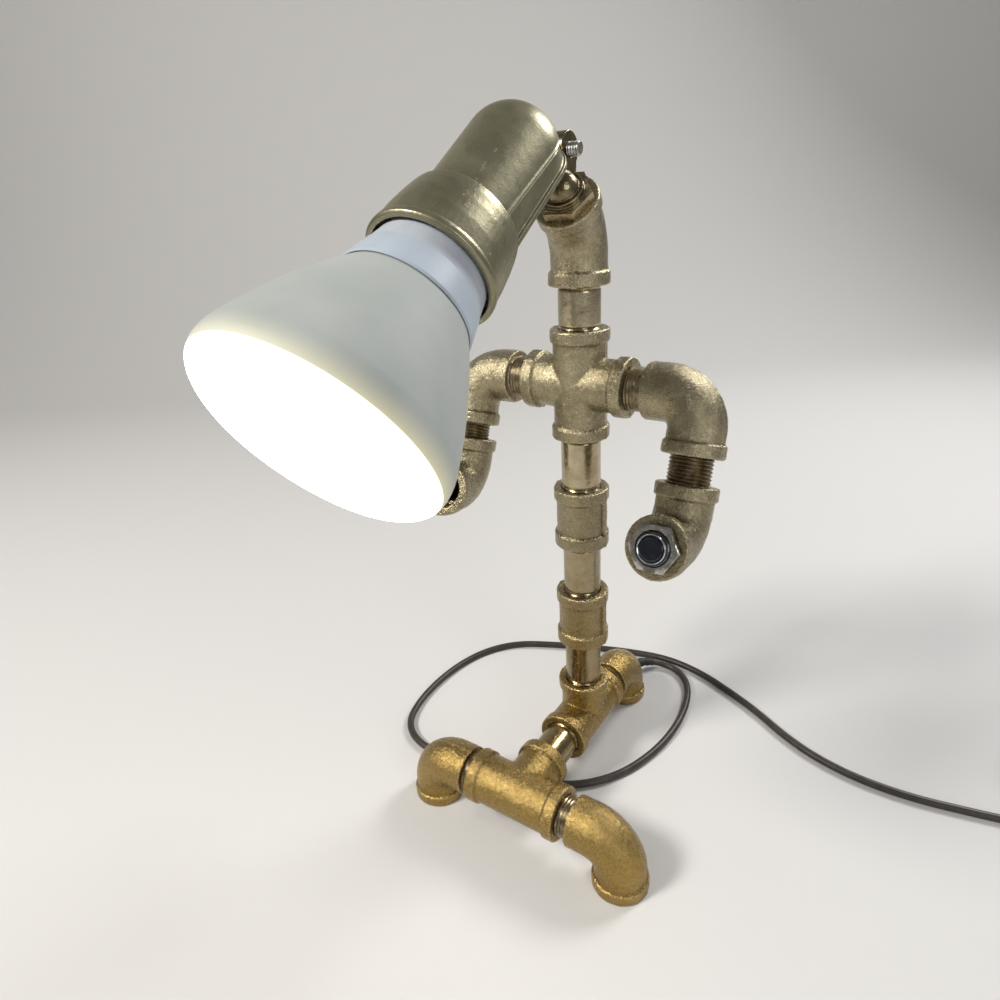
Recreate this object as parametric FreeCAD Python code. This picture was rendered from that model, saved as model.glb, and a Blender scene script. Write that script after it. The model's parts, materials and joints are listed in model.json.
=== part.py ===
import FreeCAD, Part
import math
import os

from FreeCAD import Vector

# Industrial pipe table lamp: half-inch malleable pipe fittings screwed into a
# standing figure, with a swivel lampholder for its head.
# Millimetres, +Z up, the floor at Z = 0, the front is -Y.  The pieces are drawn with the
# column on the Z axis, and moved at the end so that the origin is under the lamp's middle.

# ---------------------------------------------------------------- driving sizes
# Half-inch pipe and 150-class fittings
PIPE_R = 10.67
PIPE_BORE_R = 7.9
PORT_R = 10.75
PORT_DEPTH = 14.0
WATERWAY_R = 8.0
CENTRE_TO_END = 28.4
BAND_R = 15.2
BAND_WIDTH = 6.6
BAND_EDGE = 0.9
BODY_R = 13.9
BRANCH_R = 13.5
BEND_R = 17.0
STREET_REACH = 41.4
STREET_SHOULDER = 26.6

# Elbow of 45 degrees at the neck
NECK_CENTRE_TO_END = 22.4
NECK_BEND_R = 25.0
NECK_TURN = 8.0
NECK_RISE = 45.0

# Couplings
COUPLING_LENGTH = 34.8
COUPLING_LOW_BAND = 8.0
COUPLING_TOP_BAND = 7.0
COUPLING_RIB_WIDTH = 3.2
COUPLING_RIB_OUT = 14.9

# Nipples: cut lengths, and the gap left in view between two fittings
COLUMN_NIPPLE = 50.8
SHORT_NIPPLE = 38.1
CLOSE_NIPPLE = 28.6
LOWER_GAP = 29.5
MIDDLE_GAP = 31.0
UPPER_GAP = 29.2
NECK_GAP = 20.7
FRONT_GAP = 20.9
RIGHT_ARM_GAP = 13.6
LEFT_ARM_GAP = 8.6

# From a port's face to the axis of the street elbow screwed into it
LEFT_FOOT_OUT = 31.0
RIGHT_FOOT_OUT = 33.6
REAR_FOOT_OUT = 32.3
SHOULDER_OUT = 36.0

# How the arms hang: swing forward of plumb, and turn of the hand to the right
RIGHT_SWING = 19.3
RIGHT_TWIST = -1.5
LEFT_SWING = 20.4
LEFT_TWIST = 10.0

# Swivel lampholder: S runs back along its axis from the rim of the bulb's face,
# H is square to the axis, up.  The knuckle screw crosses at KNUCKLE_S, KNUCKLE_H.
KNUCKLE = Vector(0, -17.4, 352.0)
HEAD_X = -3.9
HEAD_PITCH = 33.5
KNUCKLE_S = 177.0
KNUCKLE_H = -16.0
KNUCKLE_R = 7.5
EAR_LEFT = -8.6
EAR_RIGHT = -1.7
TONGUE_LEFT = -1.5
TONGUE_RIGHT = 5.5
SCREW_R = 3.175
SCREW_HOLE_R = 3.25
SCREW_TIP = 10.5
SCREW_HEAD_FLATS = 11.1
SCREW_HEAD_THICK = 4.4

LIP_S = 78.4
STEP_S = 105.6
DOME_END_S = 168.5
LIP_R = 26.7
COLLAR_R = 23.3
BARREL_R = 20.4
HOLDER_WALL = 2.1
FLAT_H = -17.2
UNDER_BEVEL = 7.1
STRIP_DEEP = 0.7
STRIP_TOP_FRONT_H = 2.2
STRIP_TOP_BACK_H = -1.6
STRIP_BOTTOM_H = -8.7
RIB_OUT = 0.5
RIB_HIGH = 0.8
RIB_BOTTOMS_H = (-10.3, -8.9)
LEAD_HOLE_S = 155.0
LEAD_HOLE_X = 5.5

# Bulb: 93 mm reflector shape on an E26 base.  Each point of the glass has its place
# (s, r) and how far the skin there is turned from facing outwards to facing forwards.
GLASS_WALL = 1.2
GLASS_OUTLINE = [
    (59.0, 26.2, 0), (35.0, 38.0, -23), (14.0, 45.4, -18), (9.57, 46.53, -8), (5.0, 46.65, 5),
    (1.6, 45.55, 30), (-1.0, 43.1, 56), (-2.63, 39.99, 69), (-3.5, 36.6, 82),
]
GLASS_APEX_S = -6.0
BASE_R = 13.1
BASE_FRONT_S = 103.0
BASE_BACK_S = 127.0
SHELL_IN_R = 13.6
SHELL_OUT_R = 14.2

# Hand switch: push button through a hex bushing that stands on the right hand's mouth
NUT_FLATS = 21.6
NUT_THICK = 3.4
NUT_GAP = 0.1
SPIGOT_R = 10.6
SPIGOT_LENGTH = 7.0
SWITCH_BARREL_R = 7.9
SWITCH_HOLE_R = 8.0
BARREL_OUT = 4.4
BEZEL_R = 6.9
BEZEL_OUT = 5.8
BUTTON_R = 5.9
BUTTON_PROUD = 0.4
BUTTON_LENGTH = 8.0
SWITCH_LENGTH = 20.0
WELL_DEEP = 13.0
SPRING_WELL_END = 17.0
SPRING_R = 2.4
SPRING_WIRE_R = 0.35
SPRING_PITCH = 2.4
SPRING_LENGTH = 8.6
SPRING_STEPS = 6

# Cord
CORD_R = 2.3
INNER_LEAD_R = 2.1
CORD_LENGTH = 1800.0
EXIT_Z = 10.4
GROMMET_R = 6.2
GROMMET_NECK_R = 4.15
GROMMET_HOLE_R = 4.2
COIL_CENTRE = (268.0, 96.0)
COIL_R = 25.0
COIL_ACROSS = 3
COIL_HIGH = 2
PLUG_HEIGHT = 15.0
CORD_NODES = ("power_cord", "cord_coil", "coil_tie", "plug_body", "plug_blades")

# ---------------------------------------------------------------- derived places
BARREL_END_S = DOME_END_S - BARREL_R
X_AXIS = Vector(1, 0, 0)
Y_AXIS = Vector(0, 1, 0)
Z_AXIS = Vector(0, 0, 1)
LEFT, RIGHT = X_AXIS * -1, X_AXIS
FRONT, BACK = Y_AXIS * -1, Y_AXIS
DOWN, UP = Z_AXIS * -1, Z_AXIS

TEE_Z = CENTRE_TO_END
TEE_TOP_Z = TEE_Z + CENTRE_TO_END
LOWER_COUPLING_Z = TEE_TOP_Z + LOWER_GAP
UPPER_COUPLING_Z = LOWER_COUPLING_Z + COUPLING_LENGTH + MIDDLE_GAP
CROSS_Z = UPPER_COUPLING_Z + COUPLING_LENGTH + UPPER_GAP + CENTRE_TO_END
CROSS_TOP_Z = CROSS_Z + CENTRE_TO_END
NECK_BOTTOM_Z = CROSS_TOP_Z + NECK_GAP
NECK_Z = NECK_BOTTOM_Z + NECK_CENTRE_TO_END
FRONT_TEE_Y = -(CENTRE_TO_END + FRONT_GAP + CENTRE_TO_END)
REAR_FOOT_Y = CENTRE_TO_END + REAR_FOOT_OUT
SHOULDER_X = CENTRE_TO_END + SHOULDER_OUT
RIGHT_HAND_Z = CROSS_Z - CENTRE_TO_END - RIGHT_ARM_GAP - CENTRE_TO_END

BASE_TEE = Vector(0, 0, TEE_Z)
FRONT_TEE = Vector(0, FRONT_TEE_Y, TEE_Z)
LEFT_FOOT = Vector(-CENTRE_TO_END - LEFT_FOOT_OUT, FRONT_TEE_Y, TEE_Z)
RIGHT_FOOT = Vector(CENTRE_TO_END + RIGHT_FOOT_OUT, FRONT_TEE_Y, TEE_Z)
REAR_FOOT = Vector(0, REAR_FOOT_Y, TEE_Z)
CROSS = Vector(0, 0, CROSS_Z)
NECK = Vector(0, 0, NECK_Z)

NECK_AXIS = Vector(
    math.cos(math.radians(NECK_RISE)) * math.sin(math.radians(NECK_TURN)),
    -math.cos(math.radians(NECK_RISE)) * math.cos(math.radians(NECK_TURN)),
    math.sin(math.radians(NECK_RISE)),
)
NECK_PORT = NECK + NECK_AXIS * NECK_CENTRE_TO_END


# ---------------------------------------------------------------- shape helpers
def rod(start, axis, radius, length):
    return Part.makeCylinder(radius, length, start, axis)


def tube(start, axis, outer, inner, length):
    return rod(start, axis, outer, length).cut(rod(start, axis, inner, length))


def join(shapes):
    whole = shapes[0].multiFuse(shapes[1:])
    return whole.removeSplitter()


def prism(points, direction):
    wire = Part.makePolygon(points + [points[0]])
    return Part.Face(wire).extrude(direction)


def hexagon(centre, axis, flats, thickness):
    corner = flats / 2 / math.cos(math.radians(30))
    side = axis.cross(Z_AXIS)
    if side.Length < 0.1:
        side = X_AXIS
    side.normalize()
    other = axis.cross(side)
    points = []
    for step in range(6):
        angle = math.radians(60 * step)
        points.append(centre + side * (corner * math.cos(angle)) + other * (corner * math.sin(angle)))
    return prism(points, axis * thickness)


def bend(corner, first, second, bend_radius, radius):
    """A round bar bent at a corner, from the leg along first to the leg along second."""
    half_turn = (math.pi - first.getAngle(second)) / 2
    reach = bend_radius * math.tan(half_turn)
    middle = first + second
    middle.normalize()
    centre = corner + middle * (bend_radius / math.cos(half_turn))
    disc = Part.Face(Part.Wire(Part.makeCircle(radius, corner + first * reach, first)))
    return disc.revolve(centre, second.cross(first), math.degrees(2 * half_turn)), reach


def turned(outline, start, axis):
    """A solid of revolution about the line through start, from a closed list of edges."""
    return Part.Face(Part.Wire(outline)).revolve(start, axis, 360)


def band(face_centre, outward):
    """The thick reinforcing band round a port, ending at the port's face."""
    ring = rod(face_centre - outward * BAND_WIDTH, outward, BAND_R, BAND_WIDTH)
    rims = [edge for edge in ring.Edges if edge.Curve.TypeId == "Part::GeomCircle"]
    return ring.makeFillet(BAND_EDGE, rims)


def port_bore(face_centre, outward):
    return rod(face_centre - outward * PORT_DEPTH, outward, PORT_R, PORT_DEPTH)


def swung(shape, centre, degrees, axis=X_AXIS):
    moved = shape.copy()
    moved.rotate(centre, axis, degrees)
    return moved


def rounded_path(points):
    """Straight runs joined by tangent arcs, each as large as its two runs allow."""
    edges = []
    radii = []
    length = 0.0
    start = points[0]
    for before, here, after in zip(points, points[1:], points[2:]):
        back = before - here
        ahead = after - here
        shorter = min(back.Length, ahead.Length)
        back.normalize()
        ahead.normalize()
        half_turn = (math.pi - back.getAngle(ahead)) / 2
        reach = 0.45 * shorter
        radius = reach / math.tan(half_turn)
        middle = back + ahead
        middle.normalize()
        inner = here + middle * (radius / math.cos(half_turn) - radius)
        arc = Part.Arc(here + back * reach, inner, here + ahead * reach).toShape()
        edges.append(Part.LineSegment(start, here + back * reach).toShape())
        edges.append(arc)
        length += edges[-2].Length + arc.Length
        radii.append(radius)
        start = here + ahead * reach
    edges.append(Part.LineSegment(start, points[-1]).toShape())
    length += edges[-1].Length
    return edges, radii, length


# ---------------------------------------------------------------- pipe fittings
def elbow(centre, first, second, reach=CENTRE_TO_END, bend_radius=BEND_R):
    """A female elbow with a banded port along each of two directions."""
    skin, leg = bend(centre, first, second, bend_radius, BODY_R)
    way, _ = bend(centre, first, second, bend_radius, WATERWAY_R)
    outside = [skin]
    inside = [way]
    for outward in (first, second):
        face = centre + outward * reach
        outside += [rod(centre + outward * leg, outward, BODY_R, reach - leg), band(face, outward)]
        inside += [rod(centre + outward * leg, outward, WATERWAY_R, reach - leg), port_bore(face, outward)]
    return join(outside).cut(join(inside))


def street_elbow(centre, female, male):
    """An elbow with one banded port and one threaded end that screws into another fitting."""
    skin, leg = bend(centre, female, male, BEND_R, BODY_R)
    way, _ = bend(centre, female, male, BEND_R, WATERWAY_R)
    face = centre + female * CENTRE_TO_END
    outside = [
        skin,
        rod(centre + female * leg, female, BODY_R, CENTRE_TO_END - leg),
        band(face, female),
        rod(centre + male * leg, male, BODY_R, STREET_SHOULDER - leg),
        rod(centre + male * STREET_SHOULDER, male, PIPE_R, STREET_REACH - STREET_SHOULDER),
    ]
    inside = [
        way,
        rod(centre + female * leg, female, WATERWAY_R, CENTRE_TO_END - leg),
        port_bore(face, female),
        rod(centre + male * leg, male, PIPE_BORE_R, STREET_REACH - leg),
    ]
    return join(outside).cut(join(inside))


def straight_fitting(centre, run, branches):
    """A tee or cross: a run along one axis, with branches square to it."""
    outside = [rod(centre - run * CENTRE_TO_END, run, BODY_R, 2 * CENTRE_TO_END)]
    inside = [rod(centre - run * CENTRE_TO_END, run, WATERWAY_R, 2 * CENTRE_TO_END)]
    for outward in branches:
        outside.append(rod(centre, outward, BRANCH_R, CENTRE_TO_END))
        inside.append(rod(centre, outward, WATERWAY_R, CENTRE_TO_END))
    for outward in [run, run * -1] + branches:
        face = centre + outward * CENTRE_TO_END
        outside.append(band(face, outward))
        inside.append(port_bore(face, outward))
    return join(outside).cut(join(inside))


def coupling(bottom_z):
    bottom = Vector(0, 0, bottom_z)
    top = bottom + UP * COUPLING_LENGTH
    low_band = rod(bottom, UP, BAND_R, COUPLING_LOW_BAND)
    top_band = rod(top, DOWN, BAND_R, COUPLING_TOP_BAND)
    parts = [rod(bottom, UP, BODY_R, COUPLING_LENGTH)]
    for ring in (low_band, top_band):
        rims = [edge for edge in ring.Edges if edge.Curve.TypeId == "Part::GeomCircle"]
        parts.append(ring.makeFillet(BAND_EDGE, rims))
    for side in (LEFT, RIGHT):
        rib = Part.makeBox(COUPLING_RIB_OUT, COUPLING_RIB_WIDTH, COUPLING_LENGTH - 2 * BAND_EDGE)
        rib.translate(bottom + Vector(0, -COUPLING_RIB_WIDTH / 2, BAND_EDGE))
        if side == LEFT:
            rib.rotate(bottom, Z_AXIS, 180)
        parts.append(rib)
    bores = [
        rod(bottom, UP, WATERWAY_R, COUPLING_LENGTH),
        port_bore(bottom, DOWN),
        port_bore(top, UP),
    ]
    return join(parts).cut(join(bores))


def nipple(gap_start, axis, gap, length):
    """A threaded pipe centred on the gap between two fittings."""
    start = gap_start - axis * ((length - gap) / 2)
    return tube(start, axis, PIPE_R, PIPE_BORE_R, length)


# ---------------------------------------------------------------- base and column
def rear_foot():
    foot = street_elbow(REAR_FOOT, DOWN, FRONT)
    hole = rod(Vector(0, REAR_FOOT_Y, EXIT_Z), BACK, GROMMET_HOLE_R, BAND_R + 2)
    return foot.cut(hole)


def cord_grommet():
    """A rubber bush lining the cord's hole in the rear foot, its flange outside."""
    wall = Vector(0, REAR_FOOT_Y + PORT_R + 0.4, EXIT_Z)
    neck = rod(wall, BACK, GROMMET_NECK_R, BODY_R - PORT_R + 0.4)
    flange_start = Vector(0, REAR_FOOT_Y + BODY_R + 0.35, EXIT_Z)
    flange = Part.makeCone(GROMMET_R, GROMMET_R - 2.2, 4.0, flange_start, BACK)
    bore = rod(wall - BACK, BACK, CORD_R, 14)
    return neck.fuse(flange).cut(bore).cut(rear_foot())


def base_and_column():
    nodes = {
        "base_tee": straight_fitting(BASE_TEE, BACK, [UP]),
        "front_tee": straight_fitting(FRONT_TEE, RIGHT, [BACK]),
        "front_nipple": nipple(Vector(0, -CENTRE_TO_END, TEE_Z), FRONT, FRONT_GAP, SHORT_NIPPLE),
        "left_foot_elbow": street_elbow(LEFT_FOOT, DOWN, RIGHT),
        "right_foot_elbow": street_elbow(RIGHT_FOOT, DOWN, LEFT),
        "rear_foot_elbow": rear_foot(),
        "cord_grommet": cord_grommet(),
        "lower_nipple": nipple(Vector(0, 0, TEE_TOP_Z), UP, LOWER_GAP, COLUMN_NIPPLE),
        "lower_coupling": coupling(LOWER_COUPLING_Z),
        "middle_nipple": nipple(
            Vector(0, 0, LOWER_COUPLING_Z + COUPLING_LENGTH), UP, MIDDLE_GAP, COLUMN_NIPPLE
        ),
        "upper_coupling": coupling(UPPER_COUPLING_Z),
        "upper_nipple": nipple(
            Vector(0, 0, UPPER_COUPLING_Z + COUPLING_LENGTH), UP, UPPER_GAP, COLUMN_NIPPLE
        ),
        "chest_cross": straight_fitting(CROSS, UP, [LEFT, RIGHT]),
        "neck_nipple": nipple(Vector(0, 0, CROSS_TOP_Z), UP, NECK_GAP, SHORT_NIPPLE),
        "neck_elbow": elbow(NECK, DOWN, NECK_AXIS, NECK_CENTRE_TO_END, NECK_BEND_R),
    }
    return nodes


# ---------------------------------------------------------------- arms
def arm(side, gap, swing, twist):
    """Shoulder elbow, close nipple and hand elbow of one arm, hung at its swing and twist."""
    shoulder = CROSS + side * SHOULDER_X
    hand = shoulder + DOWN * (2 * CENTRE_TO_END + gap)
    pieces = {
        "shoulder_elbow": street_elbow(shoulder, DOWN, side * -1),
        "arm_nipple": nipple(shoulder + DOWN * CENTRE_TO_END, DOWN, gap, CLOSE_NIPPLE),
        "hand_elbow": swung(elbow(hand, UP, FRONT), hand, twist, Z_AXIS),
    }
    return {name: swung(piece, CROSS, -swing) for name, piece in pieces.items()}


def right_hand_piece(piece):
    """Carries a piece built in a plumb, untwisted right hand to where the hand hangs."""
    hand = Vector(SHOULDER_X, 0, RIGHT_HAND_Z)
    return swung(swung(piece, hand, RIGHT_TWIST, Z_AXIS), CROSS, -RIGHT_SWING)


def coil_spring(start):
    """A compression spring along +Y, its wire bent through points on the helix."""
    steps = round(SPRING_STEPS * SPRING_LENGTH / SPRING_PITCH)
    points = []
    for step in range(steps + 1):
        angle = 2 * math.pi * step / SPRING_STEPS
        along = SPRING_LENGTH * step / steps
        points.append(start + Vector(SPRING_R * math.cos(angle), along, SPRING_R * math.sin(angle)))
    edges, _, _ = rounded_path(points)
    disc = Part.Face(Part.Wire(Part.makeCircle(SPRING_WIRE_R, points[0], points[1] - points[0])))
    return Part.Wire(edges).makePipe(disc)


def switch():
    """The push button in the right hand, and the hex bushing that its barrel screws into."""
    mouth = Vector(SHOULDER_X, -CENTRE_TO_END, RIGHT_HAND_Z)
    nut = hexagon(mouth + FRONT * NUT_GAP, FRONT, NUT_FLATS, NUT_THICK)
    nut = nut.fuse(rod(mouth + FRONT * (NUT_GAP + 1), BACK, SPIGOT_R, SPIGOT_LENGTH + NUT_GAP + 1))
    nut = nut.cut(rod(mouth + FRONT * 5, BACK, SWITCH_HOLE_R, SPIGOT_LENGTH + 6))

    bezel_front = mouth + FRONT * BEZEL_OUT
    bezel = rod(bezel_front, BACK, BEZEL_R, 3.0)
    rim = [edge for edge in bezel.Edges if edge.Curve.TypeId == "Part::GeomCircle"
           and abs(edge.Curve.Center.y - bezel_front.y) < 0.01]
    barrel = rod(mouth + FRONT * BARREL_OUT, BACK, SWITCH_BARREL_R, SWITCH_LENGTH + BARREL_OUT - BEZEL_OUT)
    body = bezel.makeFillet(0.35, rim).fuse(barrel)
    well = rod(bezel_front + FRONT, BACK, BUTTON_R + 0.1, WELL_DEEP + 1)
    spring_well = rod(bezel_front + BACK * (WELL_DEEP - 0.1), BACK, 3.2, SPRING_WELL_END - WELL_DEEP + 0.1)
    body = body.cut(well.fuse(spring_well))

    cap_front = bezel_front + FRONT * BUTTON_PROUD
    cap = rod(cap_front, BACK, BUTTON_R, BUTTON_LENGTH)
    front_edge = [edge for edge in cap.Edges if edge.Curve.TypeId == "Part::GeomCircle"
                  and abs(edge.Curve.Center.y - cap_front.y) < 0.01]
    cap = cap.makeFillet(0.8, front_edge)

    spring = coil_spring(cap_front + BACK * (BUTTON_LENGTH + SPRING_WIRE_R + 0.05))

    pins = []
    for offset in (-2.2, 2.2):
        pin = Part.makeBox(1.6, 6.0, 0.8)
        pin.translate(bezel_front + Vector(offset - 0.8, SWITCH_LENGTH, -0.4))
        pins.append(pin)
    pieces = {
        "hand_hex_nut": nut,
        "switch_body": body,
        "switch_button": cap,
        "switch_spring": spring,
        "switch_terminals": Part.makeCompound(pins),
    }
    return {name: right_hand_piece(piece) for name, piece in pieces.items()}


# ---------------------------------------------------------------- head
def in_head(s, h, x=0.0):
    """A point of the head before it is pitched, with the knuckle at the origin."""
    return Vector(x + HEAD_X, s - KNUCKLE_S, h - KNUCKLE_H)


def placed_head(shape):
    moved = shape.copy()
    moved.rotate(Vector(0, 0, 0), X_AXIS, HEAD_PITCH)
    moved.translate(KNUCKLE)
    return moved


def lathe(points):
    """Turns straight-sided outline points (s, r) about the head's axis."""
    corners = [in_head(s, r) for s, r in points]
    wire = Part.makePolygon(corners + [corners[0]])
    return Part.Face(wire).revolve(in_head(0, 0), Y_AXIS, 360)


def head_box(s_from, s_to, h_from, h_to, x_from, x_to):
    box = Part.makeBox(x_to - x_from, s_to - s_from, h_to - h_from)
    box.translate(in_head(s_from, h_from, x_from))
    return box


def cap_arc(edge_s, edge_r, apex_s):
    """An arc from (edge_s, edge_r) to the axis at apex_s, on a sphere centred on the axis."""
    rise = apex_s - edge_s
    sphere_r = (edge_r ** 2 + rise ** 2) / (2 * abs(rise))
    centre_s = apex_s - math.copysign(sphere_r, rise)
    half_angle = math.atan2(edge_r, abs(edge_s - centre_s)) / 2
    if abs(rise) > sphere_r:
        half_angle = (math.pi - math.atan2(edge_r, abs(edge_s - centre_s))) / 2
    middle_s = centre_s + math.copysign(sphere_r * math.cos(half_angle), rise)
    middle = in_head(middle_s, sphere_r * math.sin(half_angle))
    return Part.Arc(in_head(edge_s, edge_r), middle, in_head(apex_s, 0)).toShape()


def dome(radius, end_s):
    """The rounded back of the lampholder, turned about the axis."""
    start_s = end_s - radius
    flat = Part.LineSegment(in_head(end_s, 0), in_head(start_s, 0)).toShape()
    side = Part.LineSegment(in_head(start_s, 0), in_head(start_s, radius)).toShape()
    return turned([cap_arc(start_s, radius, end_s), flat, side], in_head(0, 0), Y_AXIS)


def round_ended(front_s, end_s, radius, bottom_h, top_h):
    """A straight-sided block, square in front and half round behind."""
    centre_s = end_s - radius
    sides = [
        Part.LineSegment(in_head(centre_s, bottom_h, -radius), in_head(front_s, bottom_h, -radius)),
        Part.LineSegment(in_head(front_s, bottom_h, -radius), in_head(front_s, bottom_h, radius)),
        Part.LineSegment(in_head(front_s, bottom_h, radius), in_head(centre_s, bottom_h, radius)),
        Part.Arc(
            in_head(centre_s, bottom_h, radius), in_head(end_s, bottom_h),
            in_head(centre_s, bottom_h, -radius),
        ),
    ]
    outline = Part.Wire([side.toShape() for side in sides])
    return Part.Face(outline).extrude(UP * (top_h - bottom_h))


def tub(front_s, end_s, radius, bottom_h, bevel):
    """The lampholder's lower half: upright walls, a flat underside, and a bevel between them."""
    block = round_ended(front_s, end_s, radius, bottom_h, 0)
    under = [edge for edge in block.Edges
             if abs(edge.BoundBox.ZMax - in_head(0, bottom_h).z) < 0.01
             and edge.BoundBox.YMax > in_head(front_s, 0).y + 1]
    return block.makeChamfer(bevel, under)


def side_strip():
    """What is cut from the barrel's walls to leave a smooth sunk strip along them."""
    profile = [
        in_head(STEP_S, STRIP_BOTTOM_H, -30), in_head(STEP_S, STRIP_TOP_FRONT_H, -30),
        in_head(DOME_END_S, STRIP_TOP_BACK_H, -30), in_head(180, STRIP_TOP_BACK_H, -30),
        in_head(180, STRIP_BOTTOM_H, -30),
    ]
    slab = prism(profile, RIGHT * 60)
    kept = round_ended(
        STEP_S - 5, DOME_END_S - STRIP_DEEP, BARREL_R - STRIP_DEEP, STRIP_BOTTOM_H - 5, 5
    )
    return slab.cut(kept)


def barrel_ribs():
    """Two thin ribs run round the barrel's walls below the strip."""
    ribs = []
    for bottom_h in RIB_BOTTOMS_H:
        outer = round_ended(
            STEP_S - 1, DOME_END_S + RIB_OUT, BARREL_R + RIB_OUT, bottom_h, bottom_h + RIB_HIGH
        )
        inner = round_ended(STEP_S - 2, DOME_END_S - 1, BARREL_R - 1, bottom_h - 1, 0)
        ribs.append(outer.cut(inner))
    return ribs


def lampholder():
    """Cast lampholder: flared collar, barrel with a flat underside, and one swivel ear."""
    collar = lathe([
        (LIP_S, 0), (LIP_S, LIP_R - 1.0), (LIP_S + 0.9, LIP_R), (LIP_S + 2.8, LIP_R),
        (LIP_S + 3.7, LIP_R - 0.6), (89.0, 25.8), (97.0, 24.9), (102.0, 24.1), (STEP_S, COLLAR_R),
        (STEP_S, BARREL_R), (BARREL_END_S, BARREL_R), (BARREL_END_S, 0),
    ])
    walls = tub(STEP_S - 1, DOME_END_S, BARREL_R, FLAT_H, UNDER_BEVEL)
    outside = join([collar, dome(BARREL_R, DOME_END_S), walls])
    outside = outside.cut(side_strip()).multiFuse(barrel_ribs())

    ear_x = EAR_LEFT - HEAD_X
    knuckle = rod(in_head(KNUCKLE_S, KNUCKLE_H, ear_x), RIGHT, KNUCKLE_R, EAR_RIGHT - EAR_LEFT)
    web = prism(
        [
            in_head(180.75, -9.5, ear_x), in_head(166.0, -4.0, ear_x),
            in_head(157.0, FLAT_H + 0.4, ear_x), in_head(171.5, -20.8, ear_x),
        ],
        RIGHT * (EAR_RIGHT - EAR_LEFT),
    )
    outside = join([outside, knuckle, web])

    cavity = join([
        lathe([
            (LIP_S - 1, 0), (LIP_S - 1, LIP_R - HOLDER_WALL - 0.3),
            (LIP_S + 4.0, LIP_R - HOLDER_WALL - 0.4), (89.0, 25.6 - HOLDER_WALL),
            (STEP_S - 2, COLLAR_R - HOLDER_WALL), (STEP_S + 1, BARREL_R - HOLDER_WALL),
            (BARREL_END_S, BARREL_R - HOLDER_WALL), (BARREL_END_S, 0),
        ]),
        dome(BARREL_R - HOLDER_WALL, DOME_END_S - HOLDER_WALL),
        tub(
            STEP_S - 2, DOME_END_S - HOLDER_WALL, BARREL_R - HOLDER_WALL, FLAT_H + HOLDER_WALL,
            UNDER_BEVEL - 0.6 * HOLDER_WALL,
        ),
    ])
    pivot_hole = rod(in_head(KNUCKLE_S, KNUCKLE_H, ear_x - 3), RIGHT, SCREW_HOLE_R, 14)
    lead_hole = rod(in_head(LEAD_HOLE_S, FLAT_H - 3, LEAD_HOLE_X), UP, 3.0, 6)
    return outside.cut(cavity).cut(pivot_hole).cut(lead_hole)


def socket():
    """What the lampholder holds: gasket, insulator, screw shell, centre contact and screws."""
    gasket = lathe([(82.6, 22.65), (86.0, 22.65), (86.0, 23.5), (82.6, 23.9)])
    cup = lathe([
        (110.0, SHELL_OUT_R + 0.05), (134.0, SHELL_OUT_R + 0.05), (134.0, 6.0), (137.0, 6.0),
        (137.0, 0), (148.0, 0), (148.0, 17.6), (110.0, 17.6),
    ])
    cup = cup.cut(head_box(100, 160, -40, FLAT_H + HOLDER_WALL + 0.1, -30, 30))
    shell = lathe([
        (109.0, SHELL_IN_R), (109.0, SHELL_OUT_R), (133.9, SHELL_OUT_R), (133.9, 9.0),
        (133.3, 9.0), (133.3, SHELL_IN_R),
    ])
    contact = head_box(131.2, 131.8, -3.0, 3.0, -3.0, 3.0)
    stem = rod(in_head(131.8, 0), BACK, 1.6, 5.2)
    contact = contact.fuse(stem)
    screws = []
    for x in (-9.0, 9.0):
        screws.append(rod(in_head(148.05, 3.0, x), BACK, 3.2, 2.2))
    return {
        "rim_gasket": gasket,
        "socket_insulator": cup,
        "screw_shell": shell,
        "centre_contact": contact,
        "terminal_screws": Part.makeCompound(screws),
        "socket_leads": socket_leads(),
    }


def socket_leads():
    """Two leads from the terminal screws to the hole above the swivel."""
    leads = []
    for x, reach in ((-9.0, -1), (9.0, 1)):
        start = in_head(151.6, 3.0, x)
        middle = in_head(LEAD_HOLE_S + 0.5, -4.0, LEAD_HOLE_X - 1.0 + reach * 2.0)
        end = in_head(LEAD_HOLE_S, FLAT_H + 2.9, LEAD_HOLE_X + reach * 1.3)
        arc = Part.Arc(start, middle, end).toShape()
        disc = Part.Face(Part.Wire(Part.makeCircle(0.9, start, arc.tangentAt(arc.FirstParameter))))
        leads.append(Part.Wire(arc).makePipe(disc))
    return Part.makeCompound(leads)


def filled_glass(inset):
    """The reflector glass as a solid, its skin moved in by inset."""
    skin = []
    for s, r, turn in GLASS_OUTLINE:
        facing = math.radians(turn)
        skin.append((s + inset * math.sin(facing), r - inset * math.cos(facing)))
    profile = []
    for first, middle, last in zip(skin[0::2], skin[1::2], skin[2::2]):
        profile.append(Part.Arc(in_head(*first), in_head(*middle), in_head(*last)).toShape())
    apex_s = GLASS_APEX_S + inset
    profile.append(cap_arc(skin[-1][0], skin[-1][1], apex_s))
    on_axis = in_head(skin[0][0], 0)
    profile.append(Part.LineSegment(in_head(apex_s, 0), on_axis).toShape())
    profile.append(Part.LineSegment(on_axis, in_head(*skin[0])).toShape())
    return turned(profile, in_head(0, 0), Y_AXIS)


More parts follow.
